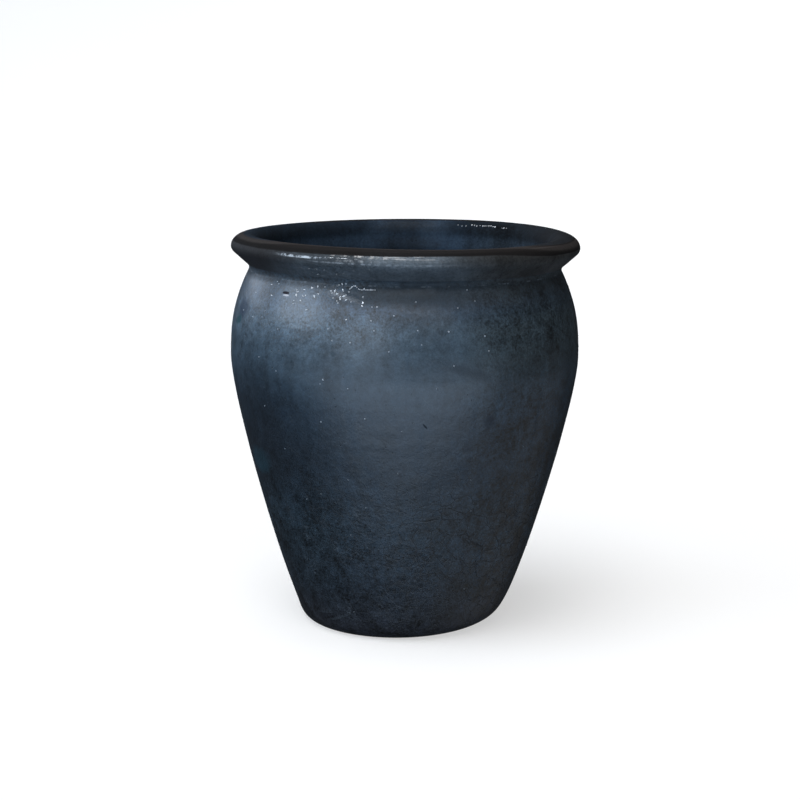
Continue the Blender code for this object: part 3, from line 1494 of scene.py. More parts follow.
class WallCoat(GlazeCoat):
    """The glaze on the outside of the wall, with its bare streaks, its marks, its patches of painted shade
    and its crease, which holds painted shade too.
    """

    bare_streaks: float = 0.9
    bare_runs: float = 0.7
    bare_sand: float = 0.9
    bare_edge: Zone = (0.0, 0.7)
    bare_most: float = 0.30
    bare_less: float = 0.15
    speck_edge: Zone = (0.0, 0.5)
    speckled: Strength = Strength(0.08, 0.20, 0.20)
    crease_rough: float = 0.35
    crease_shade: float = 0.20
    neck_rough: float = 0.25
    line_wander: float = 0.0004
    line_share: float = 0.55
    flaked: Zone = (0.00, 0.30)
    wet_height: float = 0.00030
    crazed_right: float = 0.85
    crazed_low: float = 0.40
    crazed: float = 0.12
    salt_low: float = 0.15
    salt: float = 0.22
    patch_reach: float = 0.03
    least_foreshortening: float = 0.35
    matt: dict[str, float] = {"Roughness": 0.9, "Specular IOR Level": 0.1}

    def _cracks(self, dark: Signal, fine: Signal, patches: Signal, islands: Signal) -> tuple[Signal, Signal]:
        """How much of the dark and of the pale cracks shows: more low on the jar and on its right.

        Args:
            dark: Where the wide and the fine cracks run.
            fine: Where the fine ones run.
            patches: How dark they are in each part of the jar.
            islands: Where the pale ones lie.

        Returns:
            The shares of the dark and of the pale ones.
        """
        low = self.bench.step(self.z, *self.glaze.zones.crazed_low)
        right = self.bench.step(self.x, *self.glaze.zones.crazed_right)
        share = low * (right * self.crazed_right + patches * self.crazed_low) + patches * self.crazed
        return (
            dark * self.bench.function("MINIMUM", share, 1.0),
            fine * islands * (low * self.salt_low + self.salt),
        )

    def _own_layers(self) -> None:
        """Lays the matt streaks, the marks and the patches of painted shade, the crease of the neck and the
        wet patches.
        """
        bench = self.bench
        streaks = self.streaks * self.bare_streaks + self.runs * self.bare_runs + self.sand * self.bare_sand
        most = self.bare_most - self.upper * self.left * self.bare_less
        specks = bench.step(self.noise(self.glaze.grains.specks), *self.speck_edge)
        # Some of these are patches of painted shade.
        self.bare = bench.step(streaks, *self.bare_edge) * most + specks * self.strength(self.speckled)
        for mark_or_shade in self.glaze.blemishes:
            share = self._patch(mark_or_shade)
            self.stain(share * mark_or_shade.strength, mark_or_shade.colour)
            if mark_or_shade.dull:
                self.bare = bench.function("MAXIMUM", self.bare, share * mark_or_shade.dull)
        self._crease()
        wet = self.noise(self.glaze.grains.wet)
        for patch in self.glaze.wet_patches:
            self.height = self.height + wet * (self._patch(patch) * patch.strength) * self.wet_height

    def _crease(self) -> None:
        """Dulls the crease under the collar, darkens it with painted shade, and draws the pale line in it."""
        bench, zones = self.bench, self.glaze.zones
        crease = bench.step(self.z, *zones.crease)
        neck = bench.step(self.z, *zones.matt_neck) * bench.step(self.x, *zones.matt_left)
        self.roughness = self.roughness + crease * self.crease_rough
        self.roughness = self.roughness + neck * self.neck_rough
        # Painted shade in the crease.
        self.colour = self.colour * (1.0 - crease * self.crease_shade)
        edge = self.z + self.clouds * self.line_wander
        line = bench.step(edge, *zones.line_from) * bench.step(edge, *zones.line_to)
        flaked = bench.step(self.noise(self.glaze.grains.flakes), *self.flaked)
        self.stain(line * flaked * self.line_share, self.glaze.craze_salt)

    def _patch(self, mark: SoftPatch) -> Signal:
        """How much of a soft-edged mark there is.

        Args:
            mark: The mark.

        Returns:
            A number from 0 outside the mark to 1 in it.
        """
        bench, camera = self.bench, self.glaze.surface.camera
        centre = self.glaze.surface.seen_at(mark.x, mark.y)
        facing = self.glaze.surface.facing(centre)
        side = Vector((-facing.y, facing.x, 0)).normalized()
        if side.x < 0:
            side = -side
        up = facing.cross(side)
        if up.z < 0:
            up = -up
        slanted = side * math.cos(mark.slant) + up * math.sin(mark.slant)
        upward = up * math.cos(mark.slant) - side * math.sin(mark.slant)
        away = camera.place - centre
        pixel = away.length / camera.focal_pixels
        stretch = max(abs(facing.dot(away.normalized())), self.least_foreshortening)
        offset = self.place - tuple(centre)
        across = bench.dot(offset, slanted) / (mark.width / 2 * pixel / stretch)
        along = bench.dot(offset, upward) / (mark.height / 2 * pixel)
        out = bench.dot(offset, facing) / self.patch_reach
        ragged = self.noise(Grain(90.0, 4.0, 0.65, mark.x)) * mark.raggedness
        reach = bench.length(across, along, out) + ragged
        return bench.step(reach, 1.0 + mark.softness, 1.0 - mark.softness)

    def _shader(self) -> bpy.types.NodeSocket:
        """The glaze, with a matt surface where it is bare.

        Returns:
            The shader's socket.
        """
        glossy = super()._shader()
        matt = self.bench.principled({"Base Color": self.colour, "Normal": self.normal} | self.matt)
        return self.bench.add("ShaderNodeMixShader", {}, {0: self.bare, 1: glossy, 2: matt}).outputs[0]


class LipCoat(GlazeCoat):
    """The glaze on the lip: thin and umber over the crown, paler at its edges, with painted shade inside it
    and on its far half, and painted light under it and on its front.
    """

    ragged: float = 0.0006
    west_shift: float = 0.008
    east_shift: float = 0.010
    east_rise: float = 0.0048
    tip_shift: float = 0.0035
    left_turn: float = 0.2
    shaded: float = 0.25
    ridge_glow: float = 0.8
    fleck_share: float = 0.3
    low_edge_dark: float = 0.50
    far_shade: float = 0.60
    scorched_left: float = 0.8
    scorched_right: float = 0.45
    side_glow: float = 0.6
    soft_rough: float = 0.28
    under_painted_light: float = 1.0
    front_painted_highlight: float = 1.5
    broken: Zone = (-0.15, 0.20)
    band_rough: float = 0.85
    band_share: float = 0.97
    scorched_matt: float = 0.8
    gloss_left: float = 0.94
    gloss_soft: float = 0.28
    gloss_least: float = 0.06
    dim: Colour = (0.845, 0.770, 0.675)
    inside_painted_light: float = 1.1
    inside_side: float = 0.5
    inside_crest_shade: float = 0.35
    inside_umber: float = 0.45
    inside_rough: float = 0.15
    inside_matt: float = 0.6
    behind_rough: float = 0.20
    behind_matt: float = 0.9

    def _from(self, value: Signal, start: float, zone: Zone) -> Signal:
        """The step over a zone that is measured from a start.

        Args:
            value: What is compared.
            start: The radius or height that the zone is measured from.
            zone: The zone.

        Returns:
            A number from 0 to 1.
        """
        return self.bench.step(value, start + zone[0], start + zone[1])

    def _own_layers(self) -> None:
        """Finds the places on the lip, and lays the umber band, the outer face and the inner face."""
        bench, zones, shape, x = self.bench, self.glaze.lip, self.glaze.surface.shape, self.x
        west, east, side = (bench.step(x, *zone) for zone in (zones.west, zones.east, zones.side))
        aloft = self._from(self.z, shape.widest, zones.aloft)
        radius = bench.length(x, self.y)
        ragged = self.noise(self.glaze.grains.lip_edge) * self.ragged
        tip = bench.step(x, *zones.tip) * aloft * self.tip_shift
        reach = radius - (west * self.west_shift + east * self.east_shift) * aloft - tip
        left = bench.step(x + self.y * self.left_turn, *zones.left)
        outer = self._from(self.z + ragged + east * self.east_rise, shape.widest, zones.band_outside)
        band = outer * self._from(reach + ragged, shape.crest, zones.band_inside)
        thin = self._thinned(radius, tip, ragged, reach, side, left)
        self._outer_face(reach, band, side, left)
        self._inner_face(radius, reach, side)
        self.stain(band * self.band_share, thin)

    def _thinned(
        self, radius: Signal, tip: Signal, ragged: Signal, reach: Signal, side: Signal, left: Signal
    ) -> Signal:
        """The umber of the band, with its paler edges, painted shade at its two ends and painted shade on its
        far half.

        Args:
            radius: The distance from the axis.
            tip: How far the right-hand tip is shifted.
            ragged: The unevenness of the edges.
            reach: The shifted distance from the axis.
            side: The right-hand end of the lip.
            left: The left-hand end of the lip.

        Returns:
            The colour.
        """
        bench, zones, crest = self.bench, self.glaze.lip, self.glaze.surface.shape.crest
        pale = self._from(reach + ragged, crest, zones.pale) * (1.0 - side)
        edge = radius - tip
        line = self._from(edge, crest, zones.line_from) * self._from(edge, crest, zones.line_to)
        ridge = line * side
        pale = pale + ridge
        # Painted shade at both ends of the band.
        shade = (1.0 - (side - ridge) * self.shaded) * (1.0 - left * (1.0 - pale) * self.shaded)
        fleck = self.noise(self.glaze.grains.flecks) * self.fleck_share + 1.0
        thin = bench.blend(pale, self.glaze.umber, self.glaze.pale_edge) * fleck * shade
        thin = thin * (1.0 + ridge * self.ridge_glow)
        low_edge = self._from(radius + ragged, crest, zones.low_edge)
        far = bench.step(self.y, *zones.far)
        # Painted shade on the far half of the band.
        return thin * (1.0 - low_edge * self.low_edge_dark) * (1.0 - far * self.far_shade)

    def _outer_face(self, reach: Signal, band: Signal, side: Signal, left: Signal) -> None:
        """Scorches the ends of the lip, lays painted light under it and a painted highlight on its front, and
        sets the gloss of its front.

        Args:
            reach: The shifted distance from the axis.
            band: The umber band.
            side: The right-hand end of the lip.
            left: The left-hand end of the lip.
        """
        bench, zones, crest, x = self.bench, self.glaze.lip, self.glaze.surface.shape.crest, self.x
        ends = left * self.scorched_left, bench.step(x, *zones.right) * self.scorched_right
        scorched = bench.function("MAXIMUM", *ends) * self._from(reach, crest, zones.scorched)
        self.stain(scorched, self.glaze.umber)
        self.colour = self.colour * (1.0 + side * self.side_glow)
        facing_left = bench.step(x, *zones.facing_left)
        soft = (1.0 - facing_left) * bench.step(x, *zones.soft)
        self.roughness = self.roughness - soft * self.soft_rough
        # Painted light under the lip, and a painted highlight on the middle of its front.
        under = bench.step(self.z, *zones.under) * self.under_painted_light
        front = soft * bench.step(self.z, *zones.glow) * self.front_painted_highlight
        self.colour = self.colour * (1.0 + under + front)
        self.roughness = self.roughness + band * (self.band_rough - self.roughness)
        broken = bench.step(self.noise(self.glaze.grains.breaks), *self.broken)
        share = facing_left * self.gloss_left + soft * self.gloss_soft + self.gloss_least
        gloss = broken * (1.0 - band) * (1.0 - scorched * self.scorched_matt) * share
        self.gloss = gloss * bench.step(x, *zones.glossy)

    def _inner_face(self, radius: Signal, reach: Signal, side: Signal) -> None:
        """Lays painted shade on the inside of the lip, most in its middle and under the crest, with painted
        light off its middle.

        Args:
            radius: The distance from the axis.
            reach: The shifted distance from the axis.
            side: The right-hand end of the lip.
        """
        bench, zones, crest = self.bench, self.glaze.lip, self.glaze.surface.shape.crest
        inside = self._from(reach, crest, zones.inside)
        off_centre = bench.step(bench.function("ABSOLUTE", self.x), *zones.off_centre)
        sides = off_centre * self.inside_painted_light - side * self.inside_side
        dark = bench.step(self.z, *zones.crest) * self.inside_crest_shade
        # Painted shade inside the lip, with painted light off its middle.
        dim = bench.vector(*(1.0 - inside * share for share in self.dim))
        self.colour = self.colour * dim * (1.0 + inside * sides) * (1.0 - inside * dark)
        self.stain(inside * side * self.inside_umber, self.glaze.umber)
        behind = bench.step(self.y, *zones.behind) * self._from(radius, crest, zones.behind_crest)
        self.roughness = self.roughness + inside * self.inside_rough + behind * self.behind_rough
        self.gloss = self.gloss * (1.0 - inside * self.inside_matt) * (1.0 - behind * self.behind_matt)


class DomeCoat(GlazeCoat):
    """The glaze on a pimple or a bead: painted shadow round its foot and a painted glint at its tip."""

    foot_shade_edge: Zone = (0.05, 0.45)
    glint_edge: Zone = (0.25, 0.65)
    glint_least: float = 0.4
    glint_gain: float = 0.6

    def _own_layers(self) -> None:
        """Paints a shadow round the foot of the dome and a glint on its tip."""
        bench, glaze, zones = self.bench, self.glaze, self.glaze.zones
        lift = bench.value("ShaderNodeAttribute", {"attribute_name": "lift"}, {}, "Fac")
        # Painted shadow round the foot, and a painted glint on the tip.
        self.colour = bench.blend(bench.step(lift, *self.foot_shade_edge), glaze.pimple_rim, self.colour)
        tip, showing = glaze.bead_glint, 1.0
        if self.region is Region.PIMPLES:
            tip = glaze.pimple_glint
            showing = bench.step(self.x, *zones.glint_across) * bench.step(self.z, *zones.glint_up)
        share = showing * self.glint_gain + self.glint_least
        self.stain(bench.step(lift, *self.glint_edge) * share, tip)


@dataclass(frozen=True)
class BareClay:
    """The unglazed stoneware under the jar, with the wheel's marks and grains of grog."""

    body: Colour = (0.2300, 0.1500, 0.0950)
    scorched: Colour = (0.1050, 0.0650, 0.0420)
    grog: Colour = (0.3900, 0.3000, 0.2150)
    clouds: Grain = Grain(22.0, 4.0, 0.6, 1.0)
    sand: Grain = Grain(900.0, 3.0, 0.7, 3.0)
    ring_pitch: float = 0.0042
    ring_wander: float = 0.003
    ring_share: float = 0.12
    ring_height: float = 0.00008
    ring_edge: Zone = (-0.7, 0.7)
    grog_per_metre: float = 420.0
    grog_width: Zone = (0.30, 0.12)
    grog_drawn: Zone = (0.62, 0.64)
    grog_share: float = 0.7
    grog_height: float = 0.00012
    edge: Zone = (0.080, 0.094)
    edge_wander: float = 0.004
    edge_share: float = 0.75
    sand_height: float = 0.00006
    roughness: float = 0.86
    sand_roughness: float = 0.08

    def material(self) -> bpy.types.Material:
        """Makes the finish.

        Returns:
            The material.
        """
        made, bench, place = fresh_material("bare_clay_foot")
        x, y, _ = bench.parts(place)
        radius = bench.length(x, y)
        clouds, sand = bench.noise(place, self.clouds), bench.noise(place, self.sand)
        rings = bench.function("SINE", (radius + clouds * self.ring_wander) * (FULL_TURN / self.ring_pitch))
        grog = bench.scattered(place, self.grog_per_metre, self.grog_width, self.grog_drawn)
        edge = bench.step(radius + clouds * self.edge_wander, *self.edge)
        ringed = bench.step(clouds + rings * self.ring_share, *self.ring_edge)
        colour = bench.blend(ringed, self.body, self.scorched)
        colour = bench.blend(grog * self.grog_share, colour, self.grog)
        colour = bench.blend(edge * self.edge_share, colour, self.scorched)
        height = rings * self.ring_height + sand * self.sand_height + grog * self.grog_height
        inputs = {
            "Base Color": colour,
            "Roughness": self.roughness + sand * self.sand_roughness,
            "Normal": bench.bump(height),
        }
        bench.finish(bench.principled(inputs))
        return made


# The pieces


@dataclass
class TurnedSection:
    """A section of the jar, turned from its profile by the tree."""

    name: str
    profile: Profile
    slot: Slot
    nodes: tuple[str, ...]
    shape: JarShape
    marks: HandMarks = field(default_factory=HandMarks)
    turn_steps: int = 480
    seed: float = 3.0

    def build(self, tree: TurningTree, finish: bpy.types.Material) -> bpy.types.Object:
        """Turns the section and dresses it.

        Args:
            tree: The turning tree.
            finish: Its material.

        Returns:
            The finished piece.
        """
        inputs = {label(size.name): getattr(self.marks, size.name) for size in fields(HandMarks)}
        inputs |= {
            "Turn Steps": self.turn_steps,
            "Belly Height": self.shape.belly_height,
            "Height": self.shape.widest + self.shape.crown_rise,
            "Seed": self.seed,
            "Finish": finish,
        }
        piece = through_tree(profile_mesh(self.profile), self.name, tree, inputs)
        return ride(piece, self.slot, self.nodes)


@dataclass(frozen=True)
class Pimple:
    """A pimple in the glaze, by its pixel in the photograph and its width in metres."""

    x: float
    y: float
    width: float


class Target:
    """Finds places on the finished pieces."""

    def __init__(self, pieces: Sequence[bpy.types.Object], camera: PhotoCamera) -> None:
        """Gathers the faces of the pieces.

        Args:
            pieces: The pieces.
            camera: The photograph's camera.
        """
        self.camera = camera
        corners, faces = [], []
        for piece in pieces:
            first = len(corners)
            corners += [vertex.co.copy() for vertex in piece.data.vertices]
            faces += [[first + k for k in face.vertices] for face in piece.data.polygons]
        self.tree = BVHTree.FromPolygons(corners, faces)

    def seen_at(self, x: float, y: float) -> tuple[Vector, Vector]:
        """The place that a pixel of the photograph shows, and the direction in which it faces."""
        place, facing, _, _ = self.tree.ray_cast(self.camera.place, self.camera.ray(x, y))
        return place, facing

    def on_wall(self, turn: float, height: float) -> tuple[Vector, Vector]:
        """A place on the wall.

        Args:
            turn: Its angle round the axis.
            height: Its height.

        Returns:
            The place, and the direction in which it faces.
        """
        out = Vector((math.cos(turn), math.sin(turn), 0))
        place, facing, _, _ = self.tree.ray_cast(out + Vector((0, 0, height)), -out)
        return place, facing


@dataclass
class Pimples:
    """Domes of glaze on the outer wall: the ones the photograph shows, and scattered ones behind."""

    name: str
    target: Target
    named: tuple[Pimple, ...]
    nodes: tuple[str, ...] = ("lower_wall", "shoulder_wall")
    scattered: int = 0
    past_the_sides: float = 0.2
    smallest: float = 0.0014
    largest: float = 0.0034
    lowest: float = 0.03
    highest: float = 0.35
    mostly_small: int = 3
    sides: int = 10
    rings: int = 4
    rise: float = 0.50
    sink: float = 0.05
    seed: int = 11

    def points(self) -> bpy.types.Mesh:
        """Where the domes stand, as a mesh of points with their facing and width.

        Returns:
            The mesh.
        """
        found = [self.target.seen_at(pimple.x, pimple.y) for pimple in self.named]
        widths = [pimple.width for pimple in self.named]
        rng = np.random.default_rng(self.seed)
        for _ in range(self.scattered):
            turn = rng.uniform(-self.past_the_sides, math.pi + self.past_the_sides)
            found.append(self.target.on_wall(turn, rng.uniform(self.lowest, self.highest)))
            share = rng.uniform() ** self.mostly_small
            widths.append(self.smallest + (self.largest - self.smallest) * share)
        mesh = bpy.data.meshes.new("pimple_points")
        mesh.from_pydata([tuple(place) for place, _ in found], [], [])
        facing = mesh.attributes.new("facing", "FLOAT_VECTOR", "POINT")
        facing.data.foreach_set("vector", np.array([tuple(way) for _, way in found], np.float32).ravel())
        width = mesh.attributes.new("width", "FLOAT", "POINT")
        width.data.foreach_set("value", np.array(widths, np.float32))
        return mesh

    def build(self, tree: PimpleTree, finish: bpy.types.Material) -> bpy.types.Object:
        """Sets the domes on the wall.

        Args:
            tree: The pimples' tree.
            finish: Their material.

        Returns:
            The finished piece.
        """
        inputs = {label(name): getattr(self, name) for name in ("sides", "rings", "rise", "sink")}
        piece = through_tree(self.points(), self.name, tree, inputs | {"Finish": finish})
        return ride(piece, Slot.GLAZE, self.nodes)


def rim_points(mesh: bpy.types.Mesh) -> np.ndarray:
    """The points on the open edges of a mesh.

    Args:
        mesh: The mesh.

    Returns:
        Their indices.
    """
    ends = np.zeros(len(mesh.edges) * 2, np.int32)
    mesh.edges.foreach_get("vertices", ends)
    used = np.zeros(len(mesh.loops), np.int32)
    mesh.loops.foreach_get("edge_index", used)
    open_edges = np.flatnonzero(np.bincount(used, minlength=len(mesh.edges)) == 1)
    return np.unique(ends.reshape(-1, 2)[open_edges])


def close_seams(pieces: Sequence[bpy.types.Object]) -> None:
    """Gives the points that two sections share one normal, so that no seam shows.

    Args:
        pieces: The sections.
    """
    found: dict[tuple[int, int, int], list[tuple[int, int]]] = {}
    normals = []
    for i, piece in enumerate(pieces):
        count = len(piece.data.vertices)
        places, facing = np.empty(count * 3, np.float32), np.empty(count * 3, np.float32)
        piece.data.vertices.foreach_get("co", places)
        piece.data.vertex_normals.foreach_get("vector", facing)
        normals.append(facing.reshape(-1, 3))
        for j in rim_points(piece.data):
            key = tuple(np.round(places[3 * j : 3 * j + 3] * SEAM_STEPS_PER_METRE).astype(int))
            found.setdefault(key, []).append((i, int(j)))
    shared = [members for members in found.values() if len(members) > 1]
    for members in shared:
        total = sum(normals[i][j] for i, j in members)
        total /= np.linalg.norm(total)
        for i, j in members:
            normals[i][j] = total
    for piece, facing in zip(pieces, normals):
        piece.data.normals_split_custom_set_from_vertices(facing.tolist())
    LOG.info("seams closed at %d points", len(shared))


# The studio


@dataclass(frozen=True)
class Heading:
    """A direction from the jar: azimuth 0 is the camera's side and 90 the picture's left."""

    azimuth: float
    elevation: float

    def vector(self) -> Vector:
        """The direction as a unit vector."""
        around, up = math.radians(self.azimuth), math.radians(self.elevation)
        return Vector((-math.sin(around) * math.cos(up), -math.cos(around) * math.cos(up), math.sin(up)))


@dataclass(frozen=True)
class SoftPanel:
    """A soft-edged bright panel in the room round the jar.

    The half-sizes are the tangents of the angles that it fills to each side and up and down.
    """

    heading: Heading
    half_width: float
    half_height: float
    softness: float
    strength: float
    colour: Colour = WHITE
    ahead: Zone = (0.05, 0.10)

    def light(self, bench: Bench, towards: Signal) -> Signal:
        """The panel's light from each direction.

        Args:
            bench: The world's bench.
            towards: The direction that is looked in.

        Returns:
            The colour of the light.
        """
        ahead = self.heading.vector()
        aside = Vector((-ahead.y, ahead.x, 0)).normalized()
        up = ahead.cross(aside)
        depth = bench.dot(towards, ahead)
        near = bench.function("MAXIMUM", depth, self.ahead[0])
        lit = bench.step(depth, *self.ahead)
        edge = 1.0 + self.softness, 1.0 - self.softness
        across, along = (
            bench.step(bench.function("ABSOLUTE", bench.dot(towards, way) / near) / half, *edge)
            for way, half in ((aside, self.half_width), (up, self.half_height))
        )
        bright = tuple(channel * self.strength for channel in self.colour)
        return bench.blend(across * along * lit, BLACK, bright)


@dataclass(frozen=True)
class Studio:
    """A pale floor that sweeps up into a round backdrop, in a dim room with soft panels of light."""

    floor_radius: float = 3.4
    floor_rings: tuple[float, ...] = (0.0001, 0.3, 0.8, 1.5)
    sweep: float = 1.2
    sweep_steps: int = 12
    turn_steps: int = 96
    wall_height: float = 3.2
    floor_colour: Colour = (0.40, 0.40, 0.40)
    floor_grain: Grain = Grain(3.0, 3.0, 0.5, 1.0)
    floor_darker: float = 0.99
    floor_roughness: float = 0.95
    floor_glow: float = 0.55
    surround: Colour = (0.020, 0.022, 0.024)
    panels: tuple[SoftPanel, ...] = (
        SoftPanel(Heading(44.0, 75.0), 0.26, 0.35, 0.40, 7.0),
        SoftPanel(Heading(79.0, 22.7), 0.34, 0.17, 0.50, 6.0, (0.82, 0.98, 1.18)),
        SoftPanel(Heading(28.0, 14.0), 0.26, 0.23, 0.80, 2.4, (0.90, 1.00, 1.12)),
        SoftPanel(Heading(2.6, -25.0), 1.40, 0.23, 0.85, 1.87, (0.81, 1.00, 1.24)),
        SoftPanel(Heading(-20.0, 26.0), 0.36, 0.13, 0.80, 0.7),
        SoftPanel(Heading(-80.0, -35.0), 0.87, 0.43, 0.80, 0.25),
        SoftPanel(Heading(130.0, 14.0), 0.30, 0.12, 0.70, 2.6, (0.84, 0.98, 1.18)),
        SoftPanel(Heading(47.0, 36.0), 0.18, 0.020, 0.30, 26.0, (0.92, 1.00, 1.10)),
        SoftPanel(Heading(2.0, 51.0), 0.30, 0.11, 0.60, 7.5),
        SoftPanel(Heading(180.0, 48.0), 0.60, 0.20, 0.70, 0.4),
    )

    def floor(self) -> bpy.types.Object:
        """Makes the floor and backdrop as one turned sheet, which only the camera sees.

        Returns:
            The stage object.
        """
        corner = Vector((self.floor_radius - self.sweep, self.sweep))
        bend = JarShape.arc(corner, self.sweep, self.sweep, -QUARTER_TURN, 0, self.sweep_steps)
        drawn = [Vector((radius, 0.0)) for radius in self.floor_rings] + bend
        drawn.append(Vector((self.floor_radius, self.wall_height)))
        steps = self.turn_steps
        angles = [FULL_TURN * k / steps for k in range(steps)]
        points = [(p.x * math.cos(a), p.x * math.sin(a), p.y) for p in drawn for a in angles]
        faces = []
        for low in range(0, steps * (len(drawn) - 1), steps):
            for k in range(steps):
                after = (k + 1) % steps
                faces.append((low + steps + k, low + steps + after, low + after, low + k))
        mesh = bpy.data.meshes.new("floor")
        mesh.from_pydata(points, [], faces)
        mesh.shade_smooth()
        mesh.materials.append(self._paper())
        floor = bpy.data.objects.new("floor", mesh)
        bpy.context.scene.collection.objects.link(floor)
        floor.visible_glossy = False
        floor.visible_diffuse = False
        floor.visible_shadow = False
        floor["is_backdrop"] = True
        return floor

    def _paper(self) -> bpy.types.Material:
        """The backdrop's matt paper, with a trace of unevenness.

        Returns:
            The material.
        """
        made, bench, place = fresh_material("pale_paper")
        uneven = bench.noise(place, self.floor_grain)
        grey = tuple(channel * self.floor_darker for channel in self.floor_colour)
        inputs = {
            "Base Color": bench.blend(uneven * 0.5 + 0.5, self.floor_colour, grey),
            "Roughness": self.floor_roughness,
            "Specular IOR Level": 0.0,
            "Emission Color": (*WHITE, 1.0),
            "Emission Strength": self.floor_glow,
        }
        bench.finish(bench.principled(inputs))
        return made

    def _room(self) -> None:
        """Makes the dim room and its panels."""
        world = bpy.data.worlds.new("studio")
        world.use_nodes = True
        bench = Bench(world.node_tree)
        towards = bench.value("ShaderNodeTexCoord", {}, {}, "Generated")
        light = sum((panel.light(bench, towards) for panel in self.panels), self.surround)
        air = bench.add("ShaderNodeBackground", {}, {"Color": light, "Strength": 1.0})
        bench.add("ShaderNodeOutputWorld", {}, {"Surface": air.outputs[0]})
        bpy.context.scene.world = world

    def build(self) -> None:
        """Makes the floor and the room."""
        self.floor()
        self._room()
        LOG.info("studio: a floor and %d soft panels", len(self.panels))


def dots(*groups: tuple[float, tuple[tuple[float, float], ...]]) -> tuple[Pimple, ...]:
    """Pimples from groups of pixels, each group with its width in metres."""
    return tuple(Pimple(x, y, width) for width, spots in groups for x, y in spots)


@dataclass(frozen=True)
class Strewing:
    """How two smaller beads lie beside each bead; the distances are in pixels for each metre of its width."""

    apart: Zone = (1.8, 3.6)
    distance: Zone = (280.0, 440.0)
    size: Zone = (0.50, 0.75)
    seed: int = 5

    def strewn(self, beads: tuple[Pimple, ...]) -> tuple[Pimple, ...]:
        """Runs two smaller beads into each bead, so that none stays round.

        Args:
            beads: The beads.

        Returns:
            The beads, with the smaller ones after them.
        """
        rng = np.random.default_rng(self.seed)
        found = list(beads)
        for bead in beads:
            turn = rng.uniform(0.0, FULL_TURN)
            for side in (0.0, rng.uniform(*self.apart)):
                away = bead.width * rng.uniform(*self.distance)
                x = bead.x + away * math.cos(turn + side)
                y = bead.y + away * math.sin(turn + side)
                found.append(Pimple(x, y, bead.width * rng.uniform(*self.size)))
        return tuple(found)


PIMPLES = dots(
    (0.0030, ((307, 310), (346, 320), (323, 380), (365, 419), (449, 332), (485, 336))),
    (
        0.0025,
        (
            (301, 300), (315, 296), (371, 321), (374, 331), (350, 343), (394, 316), (348, 389),
            (244, 310), (253, 317), (454, 366), (489, 351), (321, 422), (398, 474),
        ),
    ),
    (
        0.0020,
        (
            (262, 317), (265, 311), (278, 329), (272, 295), (328, 329), (320, 384), (276, 371),
            (259, 357), (458, 308), (475, 301), (467, 290), (416, 302), (418, 331), (550, 310),
            (422, 345), (285, 449), (348, 480), (321, 494), (307, 499), (351, 535), (415, 581),
            (510, 443), (523, 446), (471, 480), (471, 511), (511, 496), (464, 589), (354, 612),
            (315, 573), (265, 406), (332, 341), (389, 352), (437, 389), (402, 432), (366, 508),
        ),
    ),
)

LARGE_GLINT_BEADS = dots(
    (
        0.0028,
        (
            (335, 291), (363, 303), (344, 296), (337, 294), (343, 290), (312, 288), (296, 295),
            (314.5, 296.2),
        ),
    ),
    (
        0.0020,
        (
            (331, 291), (346, 300), (362, 306), (271.5, 295.4), (340, 297), (340, 299), (304.5, 289.5),
            (303, 296), (342, 284), (300.5, 300.5), (332, 293), (352, 287), (364, 289), (371, 290),
            (318.5, 294), (318, 286.5), (305.5, 295.5), (306.5, 310), (271.5, 284.5), (297.5, 292),
        ),
    ),
)

# Beads that stand where glints show; their tips carry painted glints.
BEADS = Strewing().strewn(LARGE_GLINT_BEADS) + dots(
    (
        0.0017,
        (
            (339, 285), (338, 303), (297, 290), (256, 292.5), (277.5, 281.5), (250, 282),
            (346, 295), (325, 287), (337, 301), (351, 302), (287.5, 295.3), (284, 295.2), (296, 289),
            (333, 298), (349, 292), (346, 284), (363, 297), (294, 300.5), (279, 284), (293, 304),
            (377, 307), (372, 307), (350, 289), (351, 288), (354, 286), (355.5, 286), (357, 287.5),
            (358.5, 289), (360, 289.5), (362, 290), (366, 290), (367.5, 290), (369, 290), (373, 290),
            (375, 290),
        ),
    ),
)

# Beads in the throat, with painted glints on their tips.
THROAT_GLINT_BEADS = dots(
    (0.0024, ((495, 227), (483, 226), (472, 225))),
    (0.0019, ((477, 226), (491, 226), (485, 226), (489, 226), (504, 228), (474.5, 225.3), (493, 226.6))),
    (0.0014, ((502, 228), (480, 225.7), (487, 226), (466, 226), (462, 226), (458, 225), (506.5, 228.3))),
)
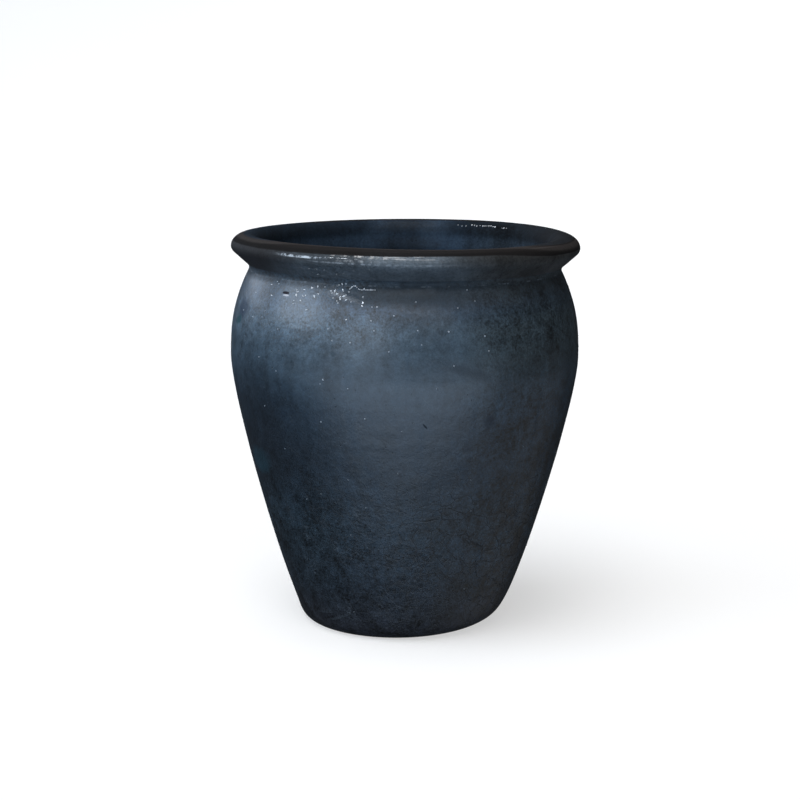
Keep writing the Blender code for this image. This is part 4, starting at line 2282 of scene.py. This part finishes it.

# Marks in the glaze, and three patches of painted shade.
MARKS_AND_SHADE = (
    # Painted shade: a dark patch under the lip at the front.
    SoftPatch(402, 296, 120, 24, (0.0085, 0.0150, 0.0215), 0.75, 0.0, 0.60, 0.4, 0.42),
    SoftPatch(243, 309, 10, 20, (0.018, 0.031, 0.053), 0.95, 0.30, 0.45, 0.60, 0.50),
    SoftPatch(239, 319, 6, 9, (0.014, 0.046, 0.058), 0.90, 0.30, 0.40, 0.40, 0.60),
    SoftPatch(286, 292.8, 6.5, 3.0, (0.008, 0.006, 0.010), 1.00, 0.0, 0.25, 0.1, 0.90),
    SoftPatch(286, 295.3, 5.5, 2.0, (0.550, 0.540, 0.570), 0.60, 0.0, 0.3, 0.1),
    SoftPatch(489.5, 422, 10, 16, (0.014, 0.021, 0.032), 0.85, 0.0, 0.55, 0.60, 0.42),
    SoftPatch(468, 372, 38, 11, (0.018, 0.027, 0.038), 0.70, -0.35, 0.70, 0.90, 0.26),
    SoftPatch(339, 617, 14, 3, (0.040, 0.048, 0.056), 0.50, 0.40, 0.50, 0.50, 0.30),
    SoftPatch(327, 611, 10, 2.4, (0.036, 0.043, 0.050), 0.45, 0.20, 0.50, 0.50, 0.30),
    SoftPatch(260, 459, 16, 26, (0.016, 0.060, 0.085), 0.60, 0.2),
    SoftPatch(425, 426.5, 1.8, 7, (0.010, 0.014, 0.020), 0.90, 0.7, 0.3, 0.1, 0.80),
    SoftPatch(489, 552, 8, 2.0, (0.050, 0.062, 0.070), 0.45, 0.2, 0.4, 0.2),
    # Painted shade: the dark lower left of the wall.
    SoftPatch(262, 432, 52, 120, (0.0062, 0.0066, 0.0074), 0.50, 0.1, 0.60, 0.5),
    SoftPatch(424, 497, 14, 12, (0.012, 0.018, 0.027), 0.60, 0.0, 0.60, 0.70, 0.24),
    SoftPatch(467, 447, 9, 12, (0.012, 0.018, 0.027), 0.60, 0.0, 0.60, 0.70, 0.24),
    SoftPatch(333, 354, 5, 5, (0.020, 0.032, 0.045), 0.70, 0.0, 0.45, 0.35, 0.35),
    # Painted shade: a dark patch just under the crease.
    SoftPatch(354, 297.5, 21, 7.5, (0.015, 0.024, 0.034), 0.45, -0.40, 0.6, 0.3, 0.65),
)

WET_PATCHES = (
    SoftPatch(349, 294, 62, 26, BLACK, 1.00, 0.0, 0.5, 0.5),
    SoftPatch(303, 297, 60, 22, BLACK, 0.50, 0.1, 0.5, 0.5),
)


def dress_jar(shape: JarShape, camera: PhotoCamera) -> None:
    """Builds the pieces of the jar, from the foot up and down the inside.

    Args:
        shape: The jar's shape.
        camera: The photograph's camera.
    """
    glaze = SlateGlaze(Surface(shape, camera), blemishes=MARKS_AND_SHADE, wet_patches=WET_PATCHES)
    walls = ("lower_wall", "shoulder_wall")
    foot = TurnedSection("clay_foot", shape.foot(), Slot.CLAY, ("base_slab",), shape)
    wall = TurnedSection("outer_wall", shape.outside(), Slot.GLAZE, walls, shape)
    lip = TurnedSection("rolled_lip", shape.rim(), Slot.GLAZE, ("rolled_rim",), shape)
    inner = TurnedSection("inner_wall", shape.inside(), Slot.GLAZE, walls, shape)
    turning = TurningTree()
    pieces = [
        foot.build(turning, BareClay().material()),
        wall.build(turning, glaze.material(Region.OUTSIDE)),
        lip.build(turning, glaze.material(Region.LIP)),
        inner.build(turning, glaze.material(Region.INSIDE)),
    ]
    close_seams(pieces)
    target, domes = Target(pieces, camera), PimpleTree()
    pimple, bead = glaze.material(Region.PIMPLES), glaze.material(Region.BEADS)
    Pimples("glaze_pimples", target, PIMPLES, scattered=110).build(domes, pimple)
    Pimples("glaze_beads", target, BEADS, nodes=("shoulder_wall",)).build(domes, bead)
    Pimples("throat_beads", target, THROAT_GLINT_BEADS, nodes=("rolled_rim",)).build(domes, bead)


def corners() -> list[list[float]]:
    """The lowest and the highest corner of what is shown, as plain numbers."""
    return [list(corner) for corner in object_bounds()]


def main() -> None:
    """Builds the camera, the jar and the studio."""
    logging.basicConfig(level=logging.INFO, format="%(name)s: %(message)s")
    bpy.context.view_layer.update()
    camera = PhotoCamera()
    camera.build()
    dress_jar(JarShape(), camera)
    Studio().build()
    bpy.context.scene.view_settings.view_transform = "Standard"


if __name__ == "__main__":
    main()
